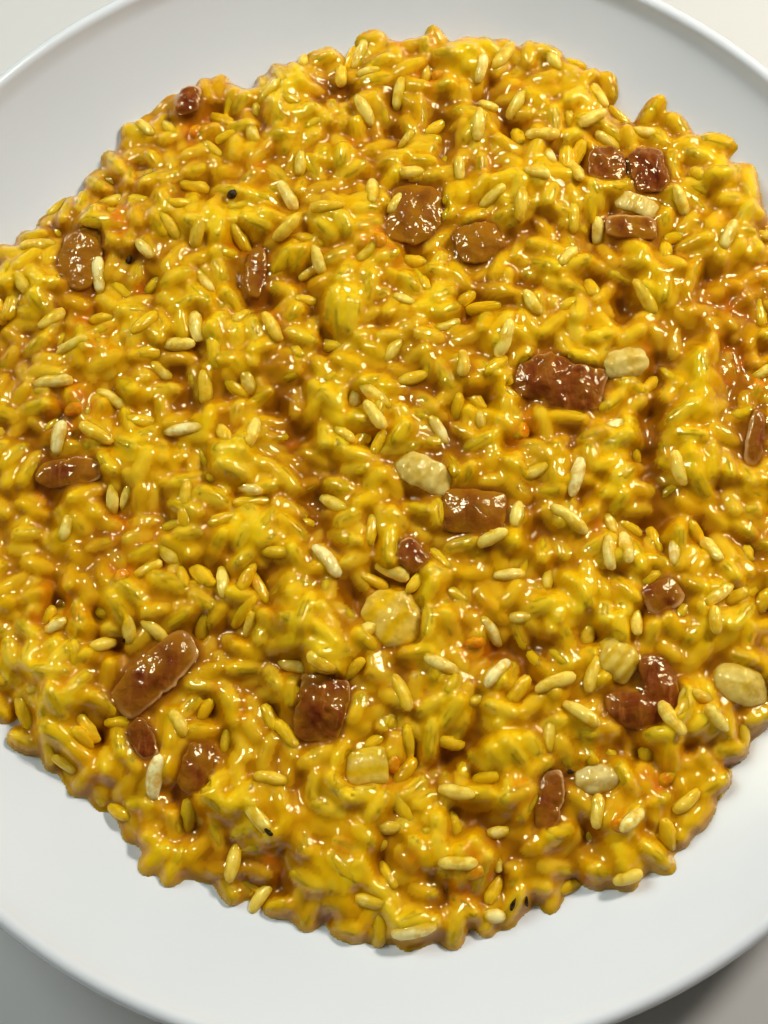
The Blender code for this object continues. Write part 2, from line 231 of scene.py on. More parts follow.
# Pumpkin sauce: pale where it lies thin on rice and on crests, amber where it is deep and in hollows, with
# painted light and shade in that tone, and orange stains
def sauceMaterial():
    paint = newMaterial("pumpkinSauce")
    shader = wetShader(paint, 0.42, 1.0, 0.05, 0.8, (1.0, 0.75, 0.2), 2.6)
    # The depth tone carries painted shade in hollows and painted light on crests and mounds; the ramp's dark
    # end is partly painted shade
    colour = addRamp(paint, readAttribute(paint, "depth"), (
        (0.0, (0.27, 0.088, 0.0004)),
        (0.3, (0.48, 0.200, 0.0005)),
        (0.55, (0.66, 0.325, 0.0006)),
        (0.80, (0.80, 0.44, 0.001)),
        (1.0, (0.88, 0.55, 0.004)),
    ))
    patches = addPatches(paint, addNoise(paint, 160.0, 4.0, 0.6), 0.38, 0.68, 0.55)
    colour = layTint(paint, patches, colour, (0.95, 0.80, 0.5), "MULTIPLY")
    overlays = (
        # what shows through or in the sauce
        ("riceUnder", (0.84, 0.56, 0.03)),
        ("stain", (0.66, 0.15, 0.002)),
        ("film", (0.60, 0.40, 0.006)),
        ("hamUnder", (0.27, 0.075, 0.003)),
    )
    for name, tint in overlays:
        colour = layTint(paint, readAttribute(paint, name), colour, tint)
    coarse = addNoise(paint, 400.0, 0.0, 0.5, 0.3)
    soft, wet = addBump(paint, coarse, 0.25, 0.8), addBump(paint, coarse, 0.75, 0.8)
    return finishFood(paint, shader, colour, soft, wet)


# The share of a piece's own colour: none at the sauce line, all of it well above
def addSauceLine(material, own, low, high, tint=(0.62, 0.31, 0.002)):
    wobble = addNoise(material, 400.0, 2.0)
    shifted = addMath(material, "MULTIPLY_ADD", wobble, -0.9)
    joinNodes(material, (readAttribute(material, "above"), shifted.inputs[2]))
    share = addNode(material, "ShaderNodeMapRange", interpolation_type="SMOOTHSTEP")
    setInputs(share, {"From Min": low - 0.45, "From Max": high - 0.45})
    blend = addNode(material, "ShaderNodeMix", data_type="RGBA")
    blend.inputs[6].default_value = (*tint, 1.0)
    joinNodes(material, (shifted.outputs["Value"], share.inputs["Value"]),
              (share.outputs["Result"], blend.inputs[0]), (own, blend.inputs[7]))
    return blend.outputs[2]


# Cooked rice: each grain from ivory to sauce yellow by its own tint, with faint lengthwise lines
def riceMaterial():
    paint = newMaterial("cookedRice")
    shader = wetShader(paint, 0.40, 1.0, 0.05, 1.0, (1.0, 0.8, 0.35), 2.8)
    colour = addRamp(paint, readAttribute(paint, "tint"), (
        (0.0, (0.74, 0.39, 0.001)),
        (0.4, (0.82, 0.50, 0.012)),
        (0.7, (0.92, 0.70, 0.13)),
        (1.0, (0.97, 0.84, 0.38)),
    ))
    blotches = addPatches(paint, addNoise(paint, 330.0, 3.0, 0.6), 0.42, 0.66, 0.8)
    colour = layTint(paint, blotches, colour, (0.72, 0.38, 0.003))
    colour = addSauceLine(paint, colour, 0.0, 1.5, (0.76, 0.44, 0.004))
    mapping = addNode(paint, "ShaderNodeMapping")
    mapping.inputs["Scale"].default_value = (0.5, 3.5, 3.5)
    lines = addNode(paint, "ShaderNodeTexNoise")
    setInputs(lines, {"Scale": 1.6, "Detail": 1.0})
    joinNodes(paint, (readAttribute(paint, "grainPlace", "Vector"), mapping.inputs["Vector"]),
              (mapping.outputs["Vector"], lines.inputs["Vector"]))
    low = addBump(paint, lines.outputs["Fac"], 0.10, 0.3)
    wet = addBump(paint, addNoise(paint, 480.0, 0.0, 0.5), 0.9, 0.8, low)
    return finishFood(paint, shader, colour, low, wet)


# Cured ham: dark red meat with fibres, a pale fatty edge, and a veil of sauce on some pieces
def hamMaterial():
    paint = newMaterial("curedHam")
    shader = wetShader(paint, 0.40, 1.0, 0.03, 0.2, (1.0, 0.35, 0.12), 1.2)
    colour = addRamp(paint, addNoise(paint, 420.0, 5.0, 0.62, 0.6, (1.0, 0.35, 1.0)), (
        (0.30, (0.10, 0.013, 0.002)),
        (0.50, (0.19, 0.036, 0.004)),
        (0.72, (0.33, 0.095, 0.015)),
    ))
    colour = layTint(paint, readAttribute(paint, "veil"), colour, (0.34, 0.125, 0.003))
    colour = layTint(paint, readAttribute(paint, "fat"), colour, (0.66, 0.36, 0.12))
    colour = addSauceLine(paint, colour, 0.05, 0.5, (0.40, 0.16, 0.002))
    wrinkles = addBump(paint, addNoise(paint, 420.0, 2.0, 0.5, 0.4), 0.6, 0.7)
    wet = addBump(paint, addNoise(paint, 700.0, 0.0), 0.12, 0.8, wrinkles)
    return finishFood(paint, shader, colour, wrinkles, wet)


# Cooked onion and leek: pale yellow with lengthwise veins
def onionMaterial():
    paint = newMaterial("cookedOnion")
    shader = wetShader(paint, 0.36, 1.0, 0.03, 0.9, (1.0, 0.85, 0.4), 3.5)
    colour = addRamp(paint, readAttribute(paint, "tone"), (
        (0.0, (0.80, 0.44, 0.001)),
        (0.4, (0.76, 0.47, 0.008)),
        (0.7, (0.74, 0.52, 0.09)),
        (1.0, (0.76, 0.60, 0.24)),
    ))
    turns = addMath(paint, "MULTIPLY", readAttribute(paint, "across"), math.tau)
    wave = addMath(paint, "SINE", turns.outputs["Value"])
    veins = addMath(paint, "MULTIPLY_ADD", wave.outputs["Value"], 0.22, 0.22)
    colour = layTint(paint, veins.outputs["Value"], colour, (0.80, 0.60, 0.16))
    clouds = addPatches(paint, addNoise(paint, 300.0, 2.0), 0.4, 0.7, 0.7)
    colour = layTint(paint, clouds, colour, (0.58, 0.32, 0.003))
    colour = addSauceLine(paint, colour, 0.05, 0.5)
    soft = addNoise(paint, 430.0, 1.0, 0.5, 0.3)
    bumps = addBump(paint, soft, 0.5, 0.7)
    return finishFood(paint, shader, colour, bumps, addBump(paint, soft, 0.6, 0.8, bumps))


# White tableware glaze, faintly uneven
def glazeMaterial():
    paint = newMaterial("whiteGlaze")
    shader = paint.node_tree.nodes["Principled BSDF"]
    setInputs(shader, {"Roughness": 0.22, "Coat Weight": 0.6, "Coat Roughness": 0.06})
    tones = ((0.3, (0.77, 0.785, 0.785)), (0.7, (0.80, 0.81, 0.81)))
    colour = addRamp(paint, addNoise(paint, 22.0), tones)
    bumps = addBump(paint, addNoise(paint, 60.0, 2.0), 0.12, 0.15)
    joinNodes(paint, (colour, shader.inputs["Base Color"]), (bumps, shader.inputs["Normal"]))
    return paint


def pepperMaterial():
    paint = newMaterial("blackPepper")
    shader = wetShader(paint, 0.5, 0.3, 0.2, 0.0, (1.0, 0.5, 0.2), 0.5)
    tones = ((0.4, (0.014, 0.008, 0.004)), (0.7, (0.09, 0.045, 0.015)))
    colour = addRamp(paint, addNoise(paint, 1500.0), tones)
    joinNodes(paint, (colour, shader.inputs["Base Color"]))
    return paint


# Soft crumbs of pumpkin, orange where they stand out of the sauce
def pumpkinMaterial():
    paint = newMaterial("cookedPumpkin")
    shader = wetShader(paint, 0.42, 1.0, 0.03, 0.8, (1.0, 0.5, 0.15), 2.0)
    tones = ((0.35, (0.72, 0.19, 0.002)), (0.65, (0.80, 0.32, 0.004)))
    colour = addRamp(paint, addNoise(paint, 500.0, 2.0), tones)
    colour = addSauceLine(paint, colour, 0.0, 0.9, (0.74, 0.36, 0.003))
    bumps = addBump(paint, addNoise(paint, 700.0, 1.0), 0.5, 0.8)
    return finishFood(paint, shader, colour, bumps, bumps)


field = {"reach": 124.0, "cell": 0.5}
side = int(round(2 * field["reach"] / field["cell"])) + 1
axis = np.linspace(-field["reach"], field["reach"], side)
gridX, gridY = np.meshgrid(axis, axis)
gridR = np.hypot(gridX, gridY)


# Gaussian blur with its spread in millimetres
def blur(values, sigma):
    spread = sigma / field["cell"]
    reach = max(1, int(math.ceil(3 * spread)))
    weights = np.exp(-0.5 * (np.arange(-reach, reach + 1) / spread) ** 2)
    weights /= weights.sum()
    for way in (0, 1):
        padded = np.pad(values, [(reach, reach) if k == way else (0, 0) for k in (0, 1)], mode="edge")
        total = np.zeros_like(values)
        for index, weight in enumerate(weights):
            piece = padded[index:index + side, :] if way == 0 else padded[:, index:index + side]
            total += weight * piece
        values = total
    return values


# A smooth random field with unit spread and features about size millimetres apart
def lumps(seed, size):
    draw = np.random.default_rng(seed)
    rough = blur(draw.standard_normal((side, side)), size / 3)
    return (rough - rough.mean()) / rough.std()


# Grows a field upwards under a shape that falls off with distance, or with grow off shrinks it from above
def formFilter(values, radius, fall, grow=True):
    reach = int(radius / field["cell"])
    padded = np.pad(values, reach, mode="edge")
    result = values.copy()
    for dy in range(-reach, reach + 1):
        for dx in range(-reach, reach + 1):
            away = math.hypot(dx, dy) * field["cell"]
            if away > radius:
                continue
            piece = padded[reach + dy:reach + dy + side, reach + dx:reach + dx + side]
            if grow:
                result = np.maximum(result, piece - fall(away))
            else:
                result = np.minimum(result, piece + fall(away))
    return result


# The surface of a liquid that clings between solids: hollows narrower than a ball are filled
def wetOver(values, radius):
    def ball(away):
        return radius - math.sqrt(radius ** 2 - away ** 2)

    return formFilter(formFilter(values, radius, ball), radius, ball, grow=False)


# Sauce hangs on the sides of what it covers, so it falls no steeper than slope
def drape(values, slope, reach):
    return formFilter(values, reach, lambda away: slope * away)


# Bilinear reading of a field
def sample(values, x, y):
    column = np.clip((np.asarray(x) + field["reach"]) / field["cell"], 0, side - 1.001)
    row = np.clip((np.asarray(y) + field["reach"]) / field["cell"], 0, side - 1.001)
    i, j = column.astype(int), row.astype(int)
    s, t = column - i, row - j
    return ((values[j, i] * (1 - s) + values[j, i + 1] * s) * (1 - t)
            + (values[j + 1, i] * (1 - s) + values[j + 1, i + 1] * s) * t)


# A search tree over several meshes, in millimetres
def solidTree(objects):
    points, faces = [], []
    for thing in objects:
        first = len(points)
        points += [vertex.co / mm for vertex in thing.data.vertices]
        faces += [[first + index for index in polygon.vertices] for polygon in thing.data.polygons]
    return BVHTree.FromPolygons(points, faces)


# Heights where rays from above meet the tree, NaN where they miss
def heightsFromAbove(tree, x, y):
    down = Vector((0.0, 0.0, -1.0))
    starts = (Vector((float(a), float(b), 60.0)) for a, b in zip(x.ravel(), y.ravel()))
    found = [tree.ray_cast(start, down)[0] for start in starts]
    return np.array([np.nan if hit is None else hit.z for hit in found]).reshape(x.shape)


plateShape = {
    "well": 78.0, "wellHeight": 7.0, "rise": 20.0, "lip": 4.0, "wall": 4.4,
    "footOuter": 71.0, "footInner": 62.0, "recess": 1.8, "steps": 192,
}
plateRadius = 135.0


def plateHeight(radius):
    slopeWidth = plateRadius - plateShape["lip"] - plateShape["well"]
    run = np.maximum(0.0, (radius - plateShape["well"]) / slopeWidth)
    return plateShape["wellHeight"] + plateShape["rise"] * run * run


# Points of an arc-like curve that cuts a corner of a profile
def roundedCorner(before, corner, after, radius, steps=5):
    corner = Vector(corner)
    start = corner + (Vector(before) - corner).normalized() * radius
    end = corner + (Vector(after) - corner).normalized() * radius
    points = []
    for index in range(steps + 1):
        t = index / steps
        points.append(tuple(start * (1 - t) ** 2 + corner * 2 * t * (1 - t) + end * t ** 2))
    return points


def plateProfile():
    shape = plateShape
    lip = shape["lip"] / 2
    innerEdge = plateRadius - shape["lip"]
    points = [(0.0, shape["wellHeight"])]
    points += [(radius, shape["wellHeight"]) for radius in (20.0, 40.0, 60.0, 70.0)]
    points += [(radius, float(plateHeight(radius))) for radius in np.linspace(76.0, innerEdge - 0.6, 34)]
    top = float(plateHeight(innerEdge))
    for degrees in range(150, -61, -14):
        angle = math.radians(degrees)
        points.append((innerEdge + lip + lip * math.cos(angle), top + lip * math.sin(angle)))
    for radius in np.linspace(128.0, 76.0, 20):
        points.append((radius + 1.5, float(plateHeight(radius)) - shape["wall"]))
    under = shape["wellHeight"] - shape["wall"]
    shoulder, ceiling = (shape["footOuter"] + 1.2, under), (shape["footInner"] - 1.2, shape["recess"])
    outer, inner = (shape["footOuter"], 0.0), (shape["footInner"], 0.0)
    points += roundedCorner(points[-1], shoulder, outer, 0.7)
    points += roundedCorner(shoulder, outer, inner, 0.8)
    points += roundedCorner(outer, inner, ceiling, 0.8)
    points += roundedCorner(inner, ceiling, (0.0, shape["recess"] + 0.4), 0.7)
    points += [(40.0, shape["recess"] + 0.13), (20.0, shape["recess"] + 0.27), (0.0, shape["recess"] + 0.4)]
    return points


def makePlate():
    profile = plateProfile()
    mesh = bpy.data.meshes.new("plateProfile")
    mesh.from_pydata([(radius * mm, 0.0, height * mm) for radius, height in profile],
                     [(index, index + 1) for index in range(len(profile) - 1)], [])
    turned = addObject("plateProfile", mesh)
    screw = turned.modifiers.new("turn", "SCREW")
    screw.axis = "Z"
    screw.angle = math.tau
    screw.steps = screw.render_steps = plateShape["steps"]
    screw.use_merge_vertices = True
    screw.merge_threshold = 0.00001
    screw.use_smooth_shade = True
    plate = bake(turned, "servingPlate")
    plate.data.materials.clear()
    plate.data.materials.append(glazeMaterial())
    attach(plate, "plate_glaze", "plate")


# Turns an object with modifiers into a plain mesh object, and removes the source
def bake(source, name):
    bpy.context.view_layer.update()
    evaluated = source.evaluated_get(bpy.context.evaluated_depsgraph_get())
    mesh = bpy.data.meshes.new_from_object(evaluated)
    mesh.name = name
    made = addObject(name, mesh)
    bpy.data.objects.remove(source, do_unlink=True)
    return made


def attach(piece, slot, *nodes):
    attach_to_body(piece, "root")
    if nodes:
        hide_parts(*nodes)


def setAttribute(mesh, name, values):
    attribute = mesh.attributes.new(name, "FLOAT", "POINT")
    attribute.data.foreach_set("value", np.asarray(values, dtype=np.float32))


# Mean height of the heap, and its outline as a radius for each of 720 directions
def heapForm():
    step, soften = 2, 3.2
    tree = solidTree([frame["nodes"][name] for name in ["risotto", *hamNodes, *onionNodes]])
    coarse = heightsFromAbove(tree, gridX[::step, ::step], gridY[::step, ::step])
    full = np.repeat(np.repeat(coarse, step, 0), step, 1)[:side, :side]
    inside = np.isfinite(full).astype(float)
    smooth = blur(np.nan_to_num(full) * inside, soften) / np.maximum(blur(inside, soften), 1e-3)
    angles = np.arange(720) * math.tau / 720
    radii = np.linspace(80.0, 124.0, 221)
    cover = sample(inside, np.outer(np.cos(angles), radii), np.outer(np.sin(angles), radii))
    outline = radii[(cover > 0.5).sum(1).clip(0, len(radii) - 1)]
    return smooth, outline


# How far each cell is inside the outline, measured along its radius
def inwardDistance(outline):
    turn = (np.arctan2(gridY, gridX) / math.tau % 1.0) * 720
    first = turn.astype(int) % 720
    part = turn - turn.astype(int)
    radius = outline[first] * (1 - part) + outline[(first + 1) % 720] * part
    return radius - gridR


toppingShape = {"around": 80, "rings": 14, "rim": 0.6, "square": 3.0}
hamLooks = {
    # thick is the slab's thickness, torn its edge's raggedness, wave its buckling, veil the sauce over it,
    # fatSide the direction of the fatty edge in degrees and fat how wide that edge is
    "ham_01": {"thick": 4.6, "veil": 0.0, "fat": 0.5, "fatSide": 60, "wave": 1.0, "lift": 1.0},
    "ham_02": {"thick": 2.6, "veil": 0.9, "lift": -0.5},
    "ham_03": {"thick": 2.6, "veil": 0.55, "lift": -0.6},
    "ham_04": {"thick": 2.6, "veil": 0.5, "fat": 0.25, "fatSide": 0, "lift": -0.3},
    "ham_05": {"thick": 3.0, "veil": 0.2, "fat": 0.12, "fatSide": 150, "wave": 0.7, "lift": 0.0},
    "ham_06": {"thick": 3.4, "veil": 0.0, "wave": 0.9, "fat": 0.15, "fatSide": 30, "lift": 0.4},
    "ham_07": {"thick": 2.6, "veil": 0.75, "fat": 0.5, "fatSide": 92, "square": 5.0, "torn": 0.04,
               "lift": 0.0},
    "ham_08": {"thick": 2.6, "veil": 0.8, "wave": 0.7, "lift": -0.3},
    "ham_09": {"thick": 2.4, "veil": 0.8, "lift": -0.5},
    "ham_10": {"thick": 3.4, "veil": 0.12, "wave": 1.1, "torn": 0.16, "fat": 0.15, "fatSide": 60,
               "lift": 0.2},
    "ham_11": {"thick": 3.6, "veil": 0.65, "wave": 0.2, "square": 6.0, "torn": 0.03, "lift": 0.3},
    "ham_12": {"thick": 3.4, "veil": 0.35, "fat": 0.8, "fatSide": 180, "lift": 0.3},
    "ham_13": {"thick": 2.8, "veil": 0.3, "fat": 0.2, "fatSide": 120, "lift": -0.2},
    "ham_14": {"thick": 3.0, "veil": 0.3, "fat": 0.6, "fatSide": -60, "lift": 0.3},
    "ham_15": {"thick": 2.8, "veil": 0.55, "wave": 0.6, "fat": 0.3, "fatSide": -40, "torn": 0.14,
               "square": 4.0, "lift": 0.5},
    "ham_16": {"thick": 3.4, "veil": 0.1, "fat": 0.5, "fatSide": -60, "wave": 0.9, "lift": 0.5},
    "ham_17": {"thick": 2.6, "veil": 0.5, "lift": -0.4},
    "ham_18": {"thick": 3.4, "veil": 0.25, "wave": 1.0, "torn": 0.12, "fat": 0.1, "fatSide": 80,
               "lift": 0.1},
    "ham_19": {"thick": 3.4, "veil": 0.1, "wave": 0.7, "round": True, "lift": 0.1},
    "ham_20": {"thick": 2.8, "veil": 0.4, "fat": 0.4, "fatSide": 10, "lift": 0.0},
}
onionLooks = {
    # tone runs from yellow to greenish white, lines is how many veins lie in a millimetre across the piece,
    # ridge how high they stand, and arch how far the sides bend down
    "onion_01": {"thick": 4.0, "tone": 0.80, "lines": 0.32, "ridge": 0.2, "arch": 1.6, "wave": 0.7,
                 "square": 2.4, "torn": 0.10, "lift": 0.8},
    "onion_02": {"thick": 3.6, "tone": 0.80, "lines": 0.30, "ridge": 0.25, "arch": 1.6, "wave": 0.5,
                 "square": 3.5, "torn": 0.10, "lift": 0.8},
    "onion_03": {"thick": 2.2, "tone": 0.12, "lines": 0.18, "ridge": 0.1, "arch": 0.8, "wave": 0.5,
                 "square": 1.6, "torn": 0.10, "lift": 1.2},
    "onion_04": {"thick": 2.6, "tone": 0.38, "lines": 0.25, "ridge": 0.12, "arch": 0.3, "wave": 0.15,
                 "square": 7.0, "torn": 0.02, "lift": 0.8},
    "onion_05": {"thick": 3.8, "tone": 0.50, "lines": 0.36, "ridge": 0.3, "arch": 1.8, "wave": 0.3,
                 "square": 3.0, "torn": 0.08, "lift": 0.8},
    "onion_06": {"thick": 3.2, "tone": 0.90, "lines": 0.35, "ridge": 0.15, "arch": 1.5, "wave": 0.5,
                 "square": 2.4, "torn": 0.08, "lift": 0.5},
    "onion_07": {"thick": 4.0, "tone": 0.70, "lines": 0.1, "ridge": 0.0, "arch": 1.8, "wave": 0.5,
                 "square": 2.4, "torn": 0.05, "lift": 0.6},
    "onion_08": {"thick": 2.6, "tone": 0.85, "lines": 0.5, "ridge": 0.2, "arch": 0.8, "wave": 0.2,
                 "square": 4.0, "torn": 0.05, "lift": 0.6},
}
toppingDefaults = {
    "thick": 3.0, "torn": 0.10, "wave": 0.5, "veil": 0.15, "fat": 0.0, "fatSide": 0, "lift": 0.0, "tone": 0.5,
    "lines": 0.0, "arch": 0.0, "ridge": 0.0, "square": toppingShape["square"], "round": False,
}


# How a topping lies: its middle, half sizes and turn, or for one bent round a circle the circle's middle
# and radius
def nodePlan(name, bent):
    points = np.array([vertex.co for vertex in frame["nodes"][name].data.vertices]) / mm
    high = float(points[:, 2].max())
    flat = points[:, :2]
    if bent:
        system = np.column_stack([flat, np.ones(len(flat))])
        solved = np.linalg.lstsq(system, (flat ** 2).sum(1), rcond=None)[0]
        middle = solved[:2] / 2
        radius = math.sqrt(solved[2] + middle @ middle)
        offset = flat - middle
        mean = math.atan2(offset[:, 1].mean(), offset[:, 0].mean())
        along = (np.arctan2(offset[:, 1], offset[:, 0]) - mean + math.pi) % math.tau - math.pi
        away = np.hypot(offset[:, 0], offset[:, 1])
        swing = (along.max() + along.min()) / 2
        half = ((along.max() - along.min()) * radius / 2, (away.max() - away.min()) / 2)
        bend = (away.max() + away.min()) / 2
        return {"middle": middle, "half": half, "turn": mean + swing, "radius": bend, "high": high}
    best = None
    for degrees in range(0, 90):
        turn = math.radians(degrees)
        u = flat[:, 0] * math.cos(turn) + flat[:, 1] * math.sin(turn)
        v = flat[:, 1] * math.cos(turn) - flat[:, 0] * math.sin(turn)
        area = (u.max() - u.min()) * (v.max() - v.min())
        if best is None or area < best[0]:
            a, b = (u.max() + u.min()) / 2, (v.max() + v.min()) / 2
            middle = np.array([a * math.cos(turn) - b * math.sin(turn),
                               a * math.sin(turn) + b * math.cos(turn)])
            best = (area, turn, middle, ((u.max() - u.min()) / 2, (v.max() - v.min()) / 2))
    return {"middle": best[2], "half": best[3], "turn": best[1], "radius": 0.0, "high": high}


def toPlan(plan, u, v):
    if plan["radius"]:
        angle = plan["turn"] + u / plan["radius"]
        away = plan["radius"] + v
        return plan["middle"][0] + away * math.cos(angle), plan["middle"][1] + away * math.sin(angle)
    c, s = math.cos(plan["turn"]), math.sin(plan["turn"])
    return plan["middle"][0] + u * c - v * s, plan["middle"][1] + u * s + v * c


def smoothNoise(x, y, size, offset):
    return noise.noise(Vector((x / size, y / size, offset)))


# Faces, pointing outwards, of a closed body of loops of points between two end points
def bodyFaces(loops, around):
    faces = [(0, 1 + index, 1 + (index + 1) % around) for index in range(around)]
    for loop in range(loops - 1):
        start = 1 + loop * around
        for index in range(around):
            after = (index + 1) % around
            faces.append((start + index, start + around + index, start + around + after, start + after))
    start = 1 + (loops - 1) * around
    last = start + around
    return faces + [(start + (index + 1) % around, start + index, last) for index in range(around)]


# A torn or cut slab on the heap, with a rounded rim, a buckled top and a plain underside
def makeTopping(name, looks, form, paint):
    look = {**toppingDefaults, **looks[name]}
    plan = nodePlan(name, look["round"])
    halfU, halfV = plan["half"]
    seed = 7.3 * int(name[-2:]) + (40.0 if name.startswith("onion") else 0.0)
    around, rings, rim = toppingShape["around"], toppingShape["rings"], toppingShape["rim"]
    shares = [(index / rings) ** 0.8 for index in range(1, rings + 1)]
    centre = toPlan(plan, 0.0, 0.0)
    level = float(sample(form, *centre))
    lift = min(level + 1.1 + look["lift"], plan["high"] - 0.3) - level
    points, fat, across, veil = [], [], [], []

    def addPoint(angle, share, depth, inset=0.0):
        c, s = math.cos(angle), math.sin(angle)
        power = look["square"]
        reach = (abs(c / halfU) ** power + abs(s / halfV) ** power) ** (-1 / power)
        ragged = noise.noise(Vector((1.3 * c, 1.3 * s, seed)))
        ragged += 0.5 * noise.noise(Vector((3.4 * c, 3.4 * s, seed + 5)))
        reach = (reach * (1.0 + look["torn"] * (1.6 * ragged - 0.35)) - inset) * share
        u, v = reach * c, reach * s
        x, y = toPlan(plan, u, v)
        top = depth == 0.0
        buckle = 1.1 * smoothNoise(x, y, 4.5, seed)
        if top:
            buckle += 0.55 * smoothNoise(x, y, 1.9, seed + 3)
        dome = -0.6 * share ** 4 - look["arch"] * min(1.0, abs(v) / halfV) ** 2
        dome += look["ridge"] * math.cos(math.tau * look["lines"] * v) * (1 - share ** 6)
        height = float(sample(form, x, y)) + lift + depth + look["wave"] * buckle + dome
        points.append((x * mm, y * mm, min(height, plan["high"]) * mm))
        bearing = math.atan2(y - centre[1], x - centre[0])
        facing = 0.5 + 0.5 * math.cos(bearing - math.radians(look["fatSide"]))
        wide = 0.45 * look["fat"]
        edge = max(0.0, share - (1.0 - wide)) / wide if wide else 0.0
        fat.append(min(1.0, 1.6 * edge) * facing ** 2)
        across.append(v + 0.8 * smoothNoise(x, y, 5.0, seed))
        cover = look["veil"] + 0.9 * smoothNoise(x, y, 4.0, seed + 9) * min(1.0, 2 * look["veil"] + 0.3)
        veil.append(min(1.0, max(0.0, cover + 0.35 * share ** 4)))

    addPoint(0.0, 1e-4, 0.0)
    for share in shares:
        for index in range(around):
            addPoint(math.tau * index / around, share, 0.0)
    thick = look["thick"]
    drops = ((rim * 0.35, -rim * 0.12), (rim * 0.9, 0.05), (thick * 0.5, 0.15),
             (thick - rim * 0.6, 0.0), (thick, rim * 0.8))
    for drop, inset in drops:
        for index in range(around):
            addPoint(math.tau * index / around, 1.0, -drop, inset)
    for share in (0.6, 0.25):
        for index in range(around):
            addPoint(math.tau * index / around, share, -thick)
    addPoint(0.0, 1e-4, -thick)
    loops = len(shares) + len(drops) + 2
    faces = bodyFaces(loops, around)
    if plan["radius"]:  # the bent plan is mirrored
        faces = [face[::-1] for face in faces]
    mesh = bpy.data.meshes.new(name + "Piece")
    mesh.from_pydata(points, [], faces)
    mesh.shade_smooth()
    setAttribute(mesh, "fat", fat)
    setAttribute(mesh, "veil", veil)
    setAttribute(mesh, "tone", [look["tone"]] * len(points))
    setAttribute(mesh, "across", [value * look["lines"] for value in across])
    mesh.materials.append(paint)
    piece = addObject(name + "Piece", mesh)
    attach(piece, slotOf[name], name)
    return piece


# How far each point of a piece stands above the sauce, for its colours near the sauce line
def markSauceLine(piece, surface):
    points = np.empty(len(piece.data.vertices) * 3, dtype=np.float32)
    piece.data.vertices.foreach_get("co", points)
    points = points.reshape(-1, 3) / mm
    setAttribute(piece.data, "above", points[:, 2] - sample(surface, points[:, 0], points[:, 1]))


rice = {
    "seed": 5, "tries": 12000, "failures": 700, "spots": 16, "turns": 6,
    "length": (6.6, 10.0), "width": (3.0, 4.0), "thickness": (2.8, 3.5),
    "depth": 4.5, "sink": (0.5, 1.4), "above": 0.8, "overTop": 0.35, "lack": 0.7, "onTopping": 0.12,
    "piles": ((22, 17.0, 0.7), (23, 8.0, 0.8)),
    "topShare": 0.62, "bareShare": 0.30, "cleanShare": 0.35, "settle": 1.45,
    "looseRise": -0.3, "looseGap": 4.5, "swellGain": 1.5, "swellRange": (-3.4, 3.0), "patch": 5.2,
    "segments": 8, "rings": 7, "uneven": 0.28,
}


